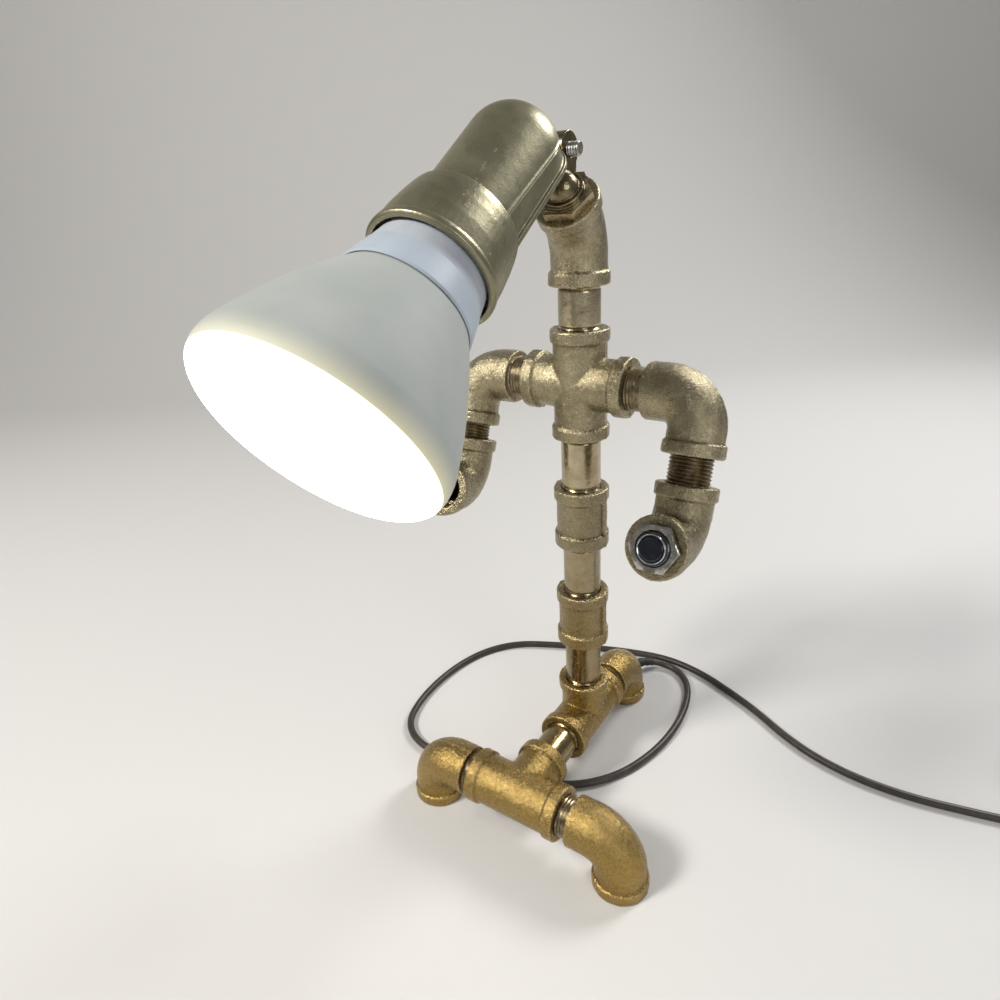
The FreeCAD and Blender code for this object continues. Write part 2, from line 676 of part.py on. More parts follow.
def bulb():
    """A reflector bulb: frosted glass, plastic collar, light engine and screw base."""
    collar = lathe([
        (59.05, 25.0), (59.05, 26.35), (58.4, 26.75), (58.3, 27.1), (59.3, 27.3), (70.4, 24.9),
        (70.5, 24.6), (79.0, 22.9), (96.0, 20.4), (101.5, 15.0), (102.8, 13.4), (102.8, 12.2),
        (100.0, 12.2), (94.0, 18.4), (79.0, 21.0), (61.9, 24.2), (61.9, 25.0),
    ])
    board = lathe([(59.7, 0), (59.7, 24.9), (61.4, 24.9), (61.4, 0)])
    driver = head_box(63.0, 92.0, -9.0, 9.0, -6.0, 6.0)
    base = lathe([
        (BASE_FRONT_S, 12.5), (BASE_FRONT_S, BASE_R), (BASE_BACK_S - 1.6, BASE_R),
        (BASE_BACK_S, 10.6), (BASE_BACK_S, 9.8), (BASE_BACK_S - 1.8, 12.5),
    ])
    insulator = lathe([
        (BASE_BACK_S - 1.2, 0), (BASE_BACK_S - 1.2, 9.7), (BASE_BACK_S + 0.4, 9.7),
        (BASE_BACK_S + 2.2, 5.0), (BASE_BACK_S + 2.2, 0),
    ])
    tip = rod(in_head(BASE_BACK_S + 2.2, 0), BACK, 4.6, 1.7)
    return {
        "bulb_glass": filled_glass(0).cut(filled_glass(GLASS_WALL)),
        "bulb_collar": collar,
        "bulb_led_board": board,
        "bulb_driver": driver,
        "bulb_screw_base": base,
        "bulb_base_insulator": insulator,
        "bulb_tip_contact": tip,
    }


def swivel_arm():
    """Hollow cast arm: a threaded stud in the neck elbow, a shoulder, and a flat tongue."""
    stud = rod(NECK_PORT - NECK_AXIS * 12.0, NECK_AXIS, PIPE_R, 16.5)
    shoulder = rod(NECK_PORT + NECK_AXIS * 4.4, NECK_AXIS, 9.6, 2.4)
    ball_centre = NECK_PORT + NECK_AXIS * 6.6
    ball = Part.makeSphere(7.6, ball_centre)
    ball = ball.cut(rod(NECK_PORT - NECK_AXIS * 8.0, NECK_AXIS, 20.0, 13.0))
    width = TONGUE_RIGHT - TONGUE_LEFT
    knuckle_left = Vector(TONGUE_LEFT, KNUCKLE.y, KNUCKLE.z)
    knuckle = rod(knuckle_left, RIGHT, KNUCKLE_R, width)
    foot_y, foot_z = ball_centre.y, ball_centre.z
    shank = prism(
        [
            Vector(TONGUE_LEFT, KNUCKLE.y - 6.2, KNUCKLE.z - 2.0),
            Vector(TONGUE_LEFT, foot_y - 4.6, foot_z + 3.0),
            Vector(TONGUE_LEFT, foot_y + 7.6, foot_z + 0.5),
            Vector(TONGUE_LEFT, KNUCKLE.y + 6.2, KNUCKLE.z - 2.0),
        ],
        RIGHT * width,
    )
    solid = join([stud, shoulder, ball, knuckle, shank])
    bore = rod(NECK_PORT - NECK_AXIS * 13.0, NECK_AXIS, 5.6, 22.0)
    pivot_hole = rod(knuckle_left - RIGHT, RIGHT, SCREW_R + 0.03, width + 2)
    return solid.cut(bore).cut(pivot_hole)


def swivel_lock_nut():
    start = NECK_PORT + NECK_AXIS * 0.15
    nut = hexagon(start, NECK_AXIS, 23.4, 4.1)
    return nut.cut(rod(start - NECK_AXIS, NECK_AXIS, PORT_R, 7.0))


def swivel_screw():
    """The knuckle's cross screw: hex head on the left, threaded tip standing out on the right."""
    left = KNUCKLE + RIGHT * (EAR_LEFT - 0.1)
    shank = rod(left, RIGHT, SCREW_R, SCREW_TIP - EAR_LEFT + 0.1)
    head = hexagon(left, LEFT, SCREW_HEAD_FLATS, SCREW_HEAD_THICK)
    return shank.fuse(head)


# ---------------------------------------------------------------- wiring inside the pipes
def lead(points, corner_radius, radius=INNER_LEAD_R):
    """A lead of straight runs with rounded corners."""
    edges = []
    start = points[0]
    for here, after in zip(points[1:-1], points[2:]):
        back = start - here
        ahead = after - here
        back.normalize()
        ahead.normalize()
        half_turn = (math.pi - back.getAngle(ahead)) / 2
        reach = corner_radius * math.tan(half_turn)
        middle = back + ahead
        middle.normalize()
        inner = here + middle * (corner_radius / math.cos(half_turn) - corner_radius)
        edges.append(Part.LineSegment(start, here + back * reach).toShape())
        edges.append(Part.Arc(here + back * reach, inner, here + ahead * reach).toShape())
        start = here + ahead * reach
    edges.append(Part.LineSegment(start, points[-1]).toShape())
    direction = points[1] - points[0]
    disc = Part.Face(Part.Wire(Part.makeCircle(radius, points[0], direction)))
    return Part.Wire(edges).makePipe(disc)


def wiring():
    """One lead per rigid length of pipe; they meet on the axes that the pipes turn about."""
    inner_exit = Vector(0, REAR_FOOT_Y + PORT_R + 0.3, EXIT_Z)
    supply = lead(
        [
            inner_exit,
            Vector(0, REAR_FOOT_Y, EXIT_Z),
            Vector(0, REAR_FOOT_Y, TEE_Z),
            Vector(0, 0, TEE_Z),
            Vector(0, 0, NECK_BOTTOM_Z + 3.0),
        ],
        5.5,
    )
    shoulder = CROSS + RIGHT * SHOULDER_X
    hand = Vector(SHOULDER_X, 0, RIGHT_HAND_Z)
    joint_x = CENTRE_TO_END - 2.0
    elbow_top = Vector(SHOULDER_X, 0, RIGHT_HAND_Z + CENTRE_TO_END - 3.0)
    neck_end = NECK_PORT + NECK_AXIS * 7.0
    switch_back = Vector(SHOULDER_X, -CENTRE_TO_END - BEZEL_OUT + SWITCH_LENGTH + 6.4, RIGHT_HAND_Z)
    return {
        "supply_lead": supply,
        "neck_lead": lead([Vector(0, 0, NECK_BOTTOM_Z + 3.3), NECK, neck_end], 12.0),
        "switch_lead_chest": rod(Vector(INNER_LEAD_R + 0.4, 0, CROSS_Z), RIGHT, 1.8, joint_x - 2.5),
        "switch_lead_arm": swung(
            lead([Vector(joint_x + 0.3, 0, CROSS_Z), shoulder, elbow_top + UP * 0.3], 12.0, 1.8),
            CROSS, -RIGHT_SWING,
        ),
        "switch_lead_hand": right_hand_piece(lead([elbow_top, hand, switch_back], 3.9, 1.8)),
    }


# ---------------------------------------------------------------- cord, coil and plug
# Where the cord runs, point by point: out of the rear foot, round in front of the
# column under the front nipple, round the left side, behind the rear foot and away.
CORD_ROUTE = [
    (0.0, 79.0, 10.4), (0.4, 88.0, 8.2), (8.6, 99.0, 4.4), (21.4, 101.6, 2.6), (33.6, 94.6, 2.4),
    (41.4, 82.0, 2.4), (46.0, 62.0, 2.4), (46.8, 38.0, 2.4), (42.6, 12.0, 2.4),
    (32.6, -14.0, 2.4), (14.4, -35.0, 2.4), (-12.0, -47.4, 2.4), (-40.0, -54.0, 2.4),
    (-68.0, -57.4, 2.4), (-94.0, -58.0, 2.4), (-113.0, -47.4, 2.4), (-121.0, -27.0, 2.4),
    (-123.6, -1.0, 2.4), (-121.0, 26.0, 2.4), (-112.6, 50.0, 2.4), (-96.0, 69.6, 2.4),
    (-71.0, 82.0, 2.4), (-44.0, 93.0, 2.4), (-14.0, 103.6, 2.4), (15.0, 109.8, 2.4),
    (42.0, 105.6, 2.4), (66.0, 95.6, 2.4), (88.0, 84.6, 2.4), (108.0, 71.4, 2.4),
    (130.0, 61.0, 2.4), (156.0, 55.6, 2.4), (184.0, 56.0, 2.4), (212.0, 61.4, 2.4),
    (239.0, 67.4, 2.4), (262.0, 70.6, 2.4),
]


def power_cord():
    points = [Vector(*point) for point in CORD_ROUTE]
    edges, radii, length = rounded_path(points)
    disc = Part.Face(Part.Wire(Part.makeCircle(CORD_R, points[0], points[1] - points[0])))
    solid = Part.Wire(edges).makePipe(disc)
    even = math.pi * CORD_R ** 2 * length
    print("cord tube length %.1f, smallest radius %.1f, volume ratio %.4f"
          % (length, min(radii), solid.Volume / even))
    print("cord radii", " ".join("%.0f" % radius for radius in radii))
    turns = (CORD_LENGTH - length) / (2 * math.pi * COIL_R)
    print("coil turns for a %.0f mm cord: %.2f" % (CORD_LENGTH, turns))
    return solid


def cord_end_pieces():
    """The stored coil with its tie, and the plug lying beside it."""
    centre = Vector(COIL_CENTRE[0], COIL_CENTRE[1], 0.05)
    half_width = COIL_ACROSS * CORD_R
    height = COIL_HIGH * 2 * CORD_R
    coil = tube(centre, UP, COIL_R + half_width, COIL_R - half_width, height)
    tie_at = centre + Vector(0, COIL_R, 0)
    outer = Part.makeBox(7.0, 2 * half_width + 2.4, height + 1.2)
    outer.translate(tie_at + Vector(-3.5, -half_width - 1.2, 0))
    inner = Part.makeBox(9.0, 2 * half_width, height)
    inner.translate(tie_at + Vector(-4.5, -half_width, 0))
    tie = outer.cut(inner)

    plug_at = centre + Vector(COIL_R + half_width - 0.9, 7.0, 0)
    body = Part.makeBox(24.0, 26.0, PLUG_HEIGHT)
    body.translate(plug_at + Vector(-12.0, 20.0, 0))
    body = body.makeFillet(3.5, [edge for edge in body.Edges if edge.Length > 20.0])
    neck = Part.makeCone(3.2, 5.4, 20.6, plug_at + UP * (PLUG_HEIGHT / 2), BACK)
    beside_coil = rod(centre + DOWN, UP, COIL_R + half_width + 0.1, height + 3.0)
    body = body.fuse(neck).cut(beside_coil)
    blades = []
    for offset in (-6.35, 6.35):
        blade = Part.makeBox(1.5, 16.0, 6.35)
        blade.translate(plug_at + Vector(offset - 0.75, 46.05, PLUG_HEIGHT / 2 - 3.2))
        blades.append(blade)
    return {
        "cord_coil": coil,
        "coil_tie": tie,
        "plug_body": body,
        "plug_blades": Part.makeCompound(blades),
    }


# ---------------------------------------------------------------- all nodes
def footprint_centre(nodes):
    """The middle, on the floor, of the box round the lamp without its cord."""
    lamp = Part.makeCompound([shape for name, shape in nodes.items() if name not in CORD_NODES])
    box = lamp.optimalBoundingBox(False, False)
    return Vector(box.Center.x, box.Center.y, 0)


def all_nodes():
    nodes = base_and_column()
    for prefix, side, gap, swing, twist in (
        ("right", RIGHT, RIGHT_ARM_GAP, RIGHT_SWING, RIGHT_TWIST),
        ("left", LEFT, LEFT_ARM_GAP, LEFT_SWING, LEFT_TWIST),
    ):
        for name, piece in arm(side, gap, swing, twist).items():
            nodes[prefix + "_" + name] = piece
    nodes.update(switch())
    nodes["swivel_arm"] = swivel_arm()
    nodes["swivel_lock_nut"] = swivel_lock_nut()
    nodes["swivel_screw"] = swivel_screw()
    nodes["lampholder"] = placed_head(lampholder())
    for name, piece in {**socket(), **bulb()}.items():
        nodes[name] = placed_head(piece)
    nodes.update(wiring())
    nodes["power_cord"] = power_cord()
    nodes.update(cord_end_pieces())
    return nodes


def main():
    os.makedirs("parts", exist_ok=True)
    nodes = all_nodes()
    origin = footprint_centre(nodes)
    print("column axis at", -origin.x, -origin.y)
    for name, shape in nodes.items():
        shape.translate(origin * -1)
        if not shape.isValid():
            print("not valid:", name)
        if not shape.Solids:
            print("no solid:", name)
        shape.exportStep("parts/" + name + ".step")


main()
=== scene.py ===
import json
import math

import bmesh
import bpy
from mathutils import Matrix, Vector, noise


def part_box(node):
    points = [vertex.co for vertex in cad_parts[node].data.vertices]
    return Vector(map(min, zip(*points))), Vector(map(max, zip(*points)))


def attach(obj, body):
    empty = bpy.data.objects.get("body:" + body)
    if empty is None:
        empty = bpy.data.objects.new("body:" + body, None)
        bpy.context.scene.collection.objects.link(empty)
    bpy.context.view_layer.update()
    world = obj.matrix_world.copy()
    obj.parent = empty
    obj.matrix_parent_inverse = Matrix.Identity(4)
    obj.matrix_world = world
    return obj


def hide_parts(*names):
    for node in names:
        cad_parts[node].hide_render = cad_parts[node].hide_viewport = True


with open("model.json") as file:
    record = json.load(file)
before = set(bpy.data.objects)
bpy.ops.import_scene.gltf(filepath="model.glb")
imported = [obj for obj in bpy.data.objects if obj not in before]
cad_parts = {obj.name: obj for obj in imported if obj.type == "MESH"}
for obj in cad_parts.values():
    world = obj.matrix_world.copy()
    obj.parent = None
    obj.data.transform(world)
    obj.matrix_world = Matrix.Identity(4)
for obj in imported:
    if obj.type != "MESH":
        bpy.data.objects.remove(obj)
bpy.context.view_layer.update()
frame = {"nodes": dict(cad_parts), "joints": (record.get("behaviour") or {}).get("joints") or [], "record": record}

# Industrial pipe table lamp.  Metres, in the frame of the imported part; MM turns the part's
# millimetres into metres.
MM = 0.001
X_AXIS, Y_AXIS, Z_AXIS = Vector((1, 0, 0)), Vector((0, 1, 0)), Vector((0, 0, 1))
JOINTS = {joint["name"]: joint for joint in frame["joints"]}
MOUNTS = {mount["name"]: mount for mount in frame["record"]["mounts"]}


def corners(node):
    """The two corners of a node's box."""
    low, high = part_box(node)
    return Vector(low), Vector(high)


def middle(node):
    low, high = corners(node)
    return (low + high) / 2


def joint_axis(name):
    return Vector(JOINTS[name]["axis"]).normalized()


# ---------------------------------------------------------------- places read from the frame
COLUMN = middle("lower_nipple")
COLUMN.z = 0.0
CHEST = middle("chest_cross")
BAND_R = 15.2
FRONT_TEE = Vector((COLUMN.x, corners("front_tee")[0].y + BAND_R * MM, middle("front_tee").z))
KNUCKLE = Vector(JOINTS["head_tilt"]["pos_m"])
HEAD_BACK = joint_axis("bulb_unscrew") * -1
HEAD_UP = X_AXIS.cross(HEAD_BACK)
# The knuckle's place in the head's own directions, and the head's shift along X, in millimetres
KNUCKLE_S = 177.0
KNUCKLE_H = -16.0
HEAD_X = (middle("bulb_glass").x - KNUCKLE.x) / MM

# Half-inch fittings, in millimetres
CENTRE_TO_END = 28.4
PIPE_R = 10.67
PIPE_BORE_R = 7.9
PIPE_PITCH = 1.814
STREET_SHOULDER = 26.6
PORT_R = 10.75
PORT_DEPTH = 14.0
CORD_R = 2.3
LEFT_HAND_TURN = math.radians(10)


def hand_mouth(side):
    """The middle of a hand's mouth, and the way it faces."""
    twist = side + "_hand_twist"
    up = joint_axis(twist)
    if side == "right":
        out = joint_axis("button_press") * -1
    else:
        out = X_AXIS * math.sin(LEFT_HAND_TURN) + X_AXIS.cross(up) * math.cos(LEFT_HAND_TURN)
    return Vector(JOINTS[twist]["pos_m"]) + (out - up) * (CENTRE_TO_END * MM), out


def head_point(x, s, h):
    """A point of the head: x across, s back from the bulb's rim, h up from the bulb's axis."""
    offset = X_AXIS * (x + HEAD_X) + HEAD_BACK * (s - KNUCKLE_S) + HEAD_UP * (h - KNUCKLE_H)
    return KNUCKLE + offset * MM


# ---------------------------------------------------------------- camera
# Angles in radians; the focal length is a share of the sensor's width.
CAMERA_FROM_COLUMN = Vector((164.313, -308.871, 336.471)) * MM
CAMERA_YAW = -0.619
CAMERA_DOWN = 0.421
CAMERA_ROLL = -0.064
FOCAL_SHARE = 0.683552
SENSOR_MM = 36.0


def add_camera():
    ahead = Vector((
        math.sin(CAMERA_YAW) * math.cos(CAMERA_DOWN),
        math.cos(CAMERA_YAW) * math.cos(CAMERA_DOWN),
        -math.sin(CAMERA_DOWN),
    ))
    level = Vector((math.cos(CAMERA_YAW), -math.sin(CAMERA_YAW), 0))
    above = level.cross(ahead)
    right = level * math.cos(CAMERA_ROLL) + above * math.sin(CAMERA_ROLL)
    up = above * math.cos(CAMERA_ROLL) - level * math.sin(CAMERA_ROLL)
    data = bpy.data.cameras.new("camera")
    data.sensor_width = SENSOR_MM
    data.lens = SENSOR_MM * FOCAL_SHARE
    data.clip_start = 0.01
    camera = bpy.data.objects.new("camera", data)
    bpy.context.collection.objects.link(camera)
    turn = Matrix((right, up, ahead * -1)).transposed()
    camera.matrix_world = Matrix.Translation(COLUMN + CAMERA_FROM_COLUMN) @ turn.to_4x4()
    bpy.context.scene.camera = camera


# ---------------------------------------------------------------- node helpers
class Nodes:
    """A material with its shader, and short ways to add and link nodes."""

    def __init__(self, name):
        self.material = bpy.data.materials.new(name)
        self.material.use_nodes = True
        self.tree = self.material.node_tree
        self.shader = self.tree.nodes["Principled BSDF"]
        self.place = self.add("ShaderNodeTexCoord").outputs["Object"]

    def add(self, kind, **settings):
        node = self.tree.nodes.new(kind)
        for key, value in settings.items():
            setattr(node, key, value)
        return node

    def link(self, source, target):
        self.tree.links.new(source, target)

    def noise(self, scale, detail=2.0, roughness=0.5):
        node = self.add("ShaderNodeTexNoise")
        node.inputs["Scale"].default_value = scale
        node.inputs["Detail"].default_value = detail
        node.inputs["Roughness"].default_value = roughness
        self.link(self.place, node.inputs["Vector"])
        return node.outputs["Fac"]

    def spread(self, value, low, high, to_low=0.0, to_high=1.0):
        """Maps low..high to to_low..to_high, and no further."""
        node = self.add("ShaderNodeMapRange", clamp=True)
        self.link(value, node.inputs["Value"])
        node.inputs["From Min"].default_value = low
        node.inputs["From Max"].default_value = high
        node.inputs["To Min"].default_value = to_low
        node.inputs["To Max"].default_value = to_high
        return node.outputs["Result"]

    def mix(self, factor, first, second):
        node = self.add("ShaderNodeMix", data_type="RGBA")
        self.link(factor, node.inputs["Factor"])
        for socket, colour in ((node.inputs[6], first), (node.inputs[7], second)):
            if isinstance(colour, tuple):
                socket.default_value = (*colour, 1.0)
            else:
                self.link(colour, socket)
        return node.outputs[2]

    def calculate(self, operation, first, second):
        node = self.add("ShaderNodeMath", operation=operation)
        for socket, value in zip(node.inputs, (first, second)):
            if isinstance(value, (int, float)):
                socket.default_value = value
            else:
                self.link(value, socket)
        return node.outputs[0]

    def bump(self, height, distance, strength=1.0, under=None):
        """A bump in metres, over the coarser bump under it."""
        node = self.add("ShaderNodeBump")
        node.inputs["Distance"].default_value = distance
        node.inputs["Strength"].default_value = strength
        self.link(height, node.inputs["Height"])
        if under is not None:
            self.link(under, node.inputs["Normal"])
        return node.outputs["Normal"]

    def along(self, start, direction):
        """How far a point lies from start along direction, in metres."""
        offset = self.add("ShaderNodeVectorMath", operation="SUBTRACT")
        self.link(self.place, offset.inputs[0])
        offset.inputs[1].default_value = start
        dot = self.add("ShaderNodeVectorMath", operation="DOT_PRODUCT")
        self.link(offset.outputs[0], dot.inputs[0])
        dot.inputs[1].default_value = direction
        return dot.outputs["Value"]

    def height(self):
        """Height above the table, in metres."""
        return self.along((0.0, 0.0, 0.0), (0.0, 0.0, 1.0))

    def edge(self):
        """Under 0.5 in hollows and over it on edges."""
        return self.add("ShaderNodeNewGeometry").outputs["Pointiness"]

    def set(self, **values):
        """Sets or links the shader's sockets by name."""
        for key, value in values.items():
            socket = self.shader.inputs[key.replace("_", " ")]
            if isinstance(value, tuple):
                socket.default_value = (*value, 1.0)
            elif isinstance(value, (int, float)):
                socket.default_value = value
            else:
                self.link(value, socket)


# ---------------------------------------------------------------- materials
# Heights in metres: painted warm lamplight is strongest at the feet, and a painted brown shade on the lower column
# fades out up the column.
LAMPLIGHT_LOW = 0.02
LAMPLIGHT_TOP = 0.15
PAINTED_SHADE_LOW = 0.12
PAINTED_SHADE_TOP = 0.26
PAINTED_SHADE_COLOUR = (0.14, 0.10, 0.045)


def cast_gold():
    """Antique gold metallic paint over rough sand-cast iron, with painted warm lamplight towards the feet, painted
    shade lower down and in hollows, and edges lighter from wear and a painted highlight.
    """
    nodes = Nodes("cast_gold")
    patches = nodes.spread(nodes.noise(95.0, 4.0), 0.36, 0.64)
    colour = nodes.mix(patches, (0.32, 0.275, 0.17), (0.43, 0.37, 0.24))
    height = nodes.height()
    # Painted warm lamplight: the feet are coloured orange-gold as if lit by the bulb.
    painted_lamplight = nodes.spread(height, LAMPLIGHT_LOW, LAMPLIGHT_TOP, 0.85, 0.0)
    colour = nodes.mix(painted_lamplight, colour, (0.62, 0.385, 0.065))
    # Painted shade: the lower column is darkened brown, fading out further up.
    colour = nodes.mix(nodes.spread(height, PAINTED_SHADE_LOW, PAINTED_SHADE_TOP, 0.5, 0.0), colour, PAINTED_SHADE_COLOUR)
    grains = nodes.noise(1350.0, 3.0, 0.6)
    pits = nodes.spread(grains, 0.33, 0.47, 0.42, 0.0)
    colour = nodes.mix(pits, colour, (0.12, 0.09, 0.048))
    crests = nodes.spread(grains, 0.55, 0.72, 0.0, 0.28)
    colour = nodes.mix(crests, colour, (0.66, 0.56, 0.36))
    edge = nodes.edge()
    # Painted shade: hollows and creases darkened.
    hollow_shade = nodes.spread(edge, 0.42, 0.495, 0.85, 0.0)
    colour = nodes.mix(hollow_shade, colour, (0.07, 0.05, 0.026))
    # Edges lighter: partly paint wear, partly a painted highlight.
    ridge = nodes.spread(edge, 0.51, 0.57, 0.0, 0.5)
    colour = nodes.mix(ridge, colour, (0.70, 0.60, 0.40))
    lumps = nodes.bump(nodes.noise(330.0, 2.0), 0.0004, 0.7)
    grain = nodes.bump(grains, 0.0005, 0.85, lumps)
    nodes.set(
        Base_Color=colour, Metallic=0.95,
        Roughness=nodes.spread(nodes.noise(500.0), 0.3, 0.7, 0.21, 0.33), Normal=grain,
    )
    return nodes.material


def pipe_gold():
    """The same paint on drawn pipe: smoother, shinier, rubbed and stained along its length; painted warm lamplight
    at the feet, painted shade lower down and in hollows.
    """
    nodes = Nodes("pipe_gold")
    patches = nodes.spread(nodes.noise(140.0, 4.0), 0.35, 0.65)
    colour = nodes.mix(patches, (0.45, 0.38, 0.245), (0.60, 0.52, 0.36))
    height = nodes.height()
    # Painted warm lamplight towards the feet, as on the fittings.
    painted_lamplight = nodes.spread(height, LAMPLIGHT_LOW, LAMPLIGHT_TOP, 0.5, 0.0)
    colour = nodes.mix(painted_lamplight, colour, (0.50, 0.32, 0.09))
    # Painted shade on the lower column, as on the fittings.
    colour = nodes.mix(nodes.spread(height, PAINTED_SHADE_LOW, PAINTED_SHADE_TOP, 0.6, 0.0), colour, PAINTED_SHADE_COLOUR)
    stains = nodes.spread(nodes.noise(520.0, 3.0, 0.6), 0.62, 0.72, 0.0, 0.45)
    colour = nodes.mix(stains, colour, (0.14, 0.10, 0.055))
    edge = nodes.edge()
    # Painted shade in hollows and creases.
    hollow_shade = nodes.spread(edge, 0.38, 0.48, 0.9, 0.0)
    colour = nodes.mix(hollow_shade, colour, (0.07, 0.055, 0.035))
    dents = nodes.bump(nodes.noise(180.0, 2.0), 0.0004, 0.4)
    fine = nodes.bump(nodes.noise(900.0, 2.0), 0.00012, 0.6, dents)
    nodes.set(
        Base_Color=colour, Metallic=1.0,
        Roughness=nodes.spread(nodes.noise(300.0), 0.3, 0.7, 0.16, 0.30), Normal=fine,
    )
    return nodes.material


def thread_metal():
    """Cut threads where the paint is thin: grey-brown steel with painted shade in the roots."""
    nodes = Nodes("thread_metal")
    stain = nodes.spread(nodes.noise(500.0, 3.0), 0.35, 0.7)
    colour = nodes.mix(stain, (0.34, 0.275, 0.175), (0.165, 0.125, 0.075))
    edge = nodes.edge()
    # Painted shade in the thread roots.
    hollow_shade = nodes.spread(edge, 0.42, 0.5, 0.9, 0.0)
    colour = nodes.mix(hollow_shade, colour, (0.04, 0.032, 0.02))
    fine = nodes.bump(nodes.noise(2000.0, 2.0), 0.0001, 0.5)
    nodes.set(Base_Color=colour, Metallic=0.95, Roughness=0.30, Normal=fine)
    return nodes.material


def holder_gold():
    """Satin olive-gold paint with a fine sparkle on the smooth die-cast lampholder."""
    nodes = Nodes("holder_gold")
    patches = nodes.spread(nodes.noise(55.0, 3.0), 0.35, 0.65)
    colour = nodes.mix(patches, (0.25, 0.23, 0.145), (0.31, 0.285, 0.185))
    sparkle = nodes.spread(nodes.noise(1500.0, 2.0), 0.56, 0.70, 0.0, 0.3)
    colour = nodes.mix(sparkle, colour, (0.50, 0.46, 0.33))
    edge = nodes.edge()
    # Painted shade in hollows and creases; edges lighter, partly wear and partly a painted highlight.
    colour = nodes.mix(nodes.spread(edge, 0.42, 0.49, 0.85, 0.0), colour, (0.06, 0.05, 0.03))
    colour = nodes.mix(nodes.spread(edge, 0.515, 0.58, 0.0, 0.6), colour, (0.62, 0.57, 0.42))
    orange_peel = nodes.bump(nodes.noise(420.0, 2.0), 0.0001, 0.5)
    grain = nodes.bump(nodes.noise(1500.0, 2.0), 0.00008, 0.6, orange_peel)
    nodes.set(
        Base_Color=colour, Metallic=0.85,
        Roughness=nodes.spread(nodes.noise(200.0), 0.3, 0.7, 0.34, 0.44), Normal=grain,
    )
    return nodes.material


def swivel_dark():
    """Worn bronze of the swivel: smooth, with gold left on its edges as wear and a painted highlight, and painted
    shade in its corners.
    """
    nodes = Nodes("swivel_dark")
    patches = nodes.spread(nodes.noise(200.0, 3.0), 0.35, 0.65)
    colour = nodes.mix(patches, (0.15, 0.12, 0.07), (0.25, 0.205, 0.12))
    edge = nodes.edge()
    # Painted shade in the corners; edges lighter, partly wear and partly a painted highlight.
    colour = nodes.mix(nodes.spread(edge, 0.40, 0.49, 0.8, 0.0), colour, (0.05, 0.04, 0.025))
    colour = nodes.mix(nodes.spread(edge, 0.51, 0.58, 0.0, 0.7), colour, (0.52, 0.43, 0.26))
    fine = nodes.bump(nodes.noise(900.0, 2.0), 0.00025, 0.6)
    nodes.set(Base_Color=colour, Metallic=0.95, Roughness=0.27, Normal=fine)
    return nodes.material


def plain_metal(name, colour, stain, roughness):
    """Bare or plated metal with faint stains and fine scratches."""
    nodes = Nodes(name)
    patches = nodes.spread(nodes.noise(350.0, 4.0), 0.35, 0.7)
    fine = nodes.bump(nodes.noise(2500.0, 3.0), 0.00006, 0.5)
    worn = nodes.spread(nodes.noise(800.0, 3.0), 0.3, 0.7, roughness * 0.8, roughness * 1.25)
    nodes.set(Base_Color=nodes.mix(patches, colour, stain), Metallic=1.0, Roughness=worn, Normal=fine)
    return nodes.material


def plain_plastic(name, colour, roughness, grain=0.00008):
    """Moulded plastic or rubber with a faint surface grain."""
    nodes = Nodes(name)
    darker = tuple(channel * 0.8 for channel in colour)
    patches = nodes.spread(nodes.noise(250.0, 3.0), 0.35, 0.65)
    fine = nodes.bump(nodes.noise(1800.0, 2.0), grain, 0.5)
    nodes.set(Base_Color=nodes.mix(patches, colour, darker), Roughness=roughness, Normal=fine)
    return nodes.material


def cord_rubber():
    """Dark brown-black jacket with a little dust on it."""
    nodes = Nodes("cord_jacket")
    dust = nodes.spread(nodes.noise(150.0, 4.0), 0.45, 0.75, 0.0, 0.5)
    colour = nodes.mix(dust, (0.030, 0.023, 0.018), (0.075, 0.06, 0.048))
    fine = nodes.bump(nodes.noise(1600.0, 2.0), 0.00012, 0.5)
    nodes.set(Base_Color=colour, Roughness=0.42, Normal=fine)
    return nodes.material


GLOW_FACE = (1.0, 0.94, 0.80)
GLOW_RIM = (1.0, 0.86, 0.42)
FACE_STRENGTH = 9.0
RIM_STRENGTH = 0.42
# The lit face ends this far behind the bulb's rim, and its yellow glow fades out at the second.
FACE_EDGE_S = 1.4
GLOW_END_S = 12.0


def lit_glass():
    """Frosted glass of a lit reflector bulb: the face glows white, its rim yellow, its sides grey."""
    nodes = Nodes("bulb_glass")
    back = nodes.along(head_point(0, 0, 0), HEAD_BACK)
    face = nodes.spread(back, FACE_EDGE_S * MM, (FACE_EDGE_S + 1.0) * MM, 1.0, 0.0)
    rim = nodes.spread(back, FACE_EDGE_S * MM, GLOW_END_S * MM, 1.0, 0.0)
    rim = nodes.calculate("POWER", rim, 2.0)
    cloud = nodes.spread(nodes.noise(40.0, 2.0), 0.3, 0.7)
    colour = nodes.mix(cloud, (0.36, 0.385, 0.365), (0.41, 0.43, 0.41))
    glow = nodes.mix(face, GLOW_RIM, GLOW_FACE)
    rim_glow = nodes.calculate("MULTIPLY", rim, RIM_STRENGTH)
    face_glow = nodes.calculate("MULTIPLY", face, FACE_STRENGTH)
    strength = nodes.calculate("ADD", rim_glow, face_glow)
    fine = nodes.bump(nodes.noise(1500.0, 2.0), 0.00005, 0.4)
    nodes.set(
        Base_Color=colour, Roughness=0.60, Normal=fine,
        Emission_Color=glow, Emission_Strength=strength,
    )
    return nodes.material


BAND_FRONT_S = 70.45


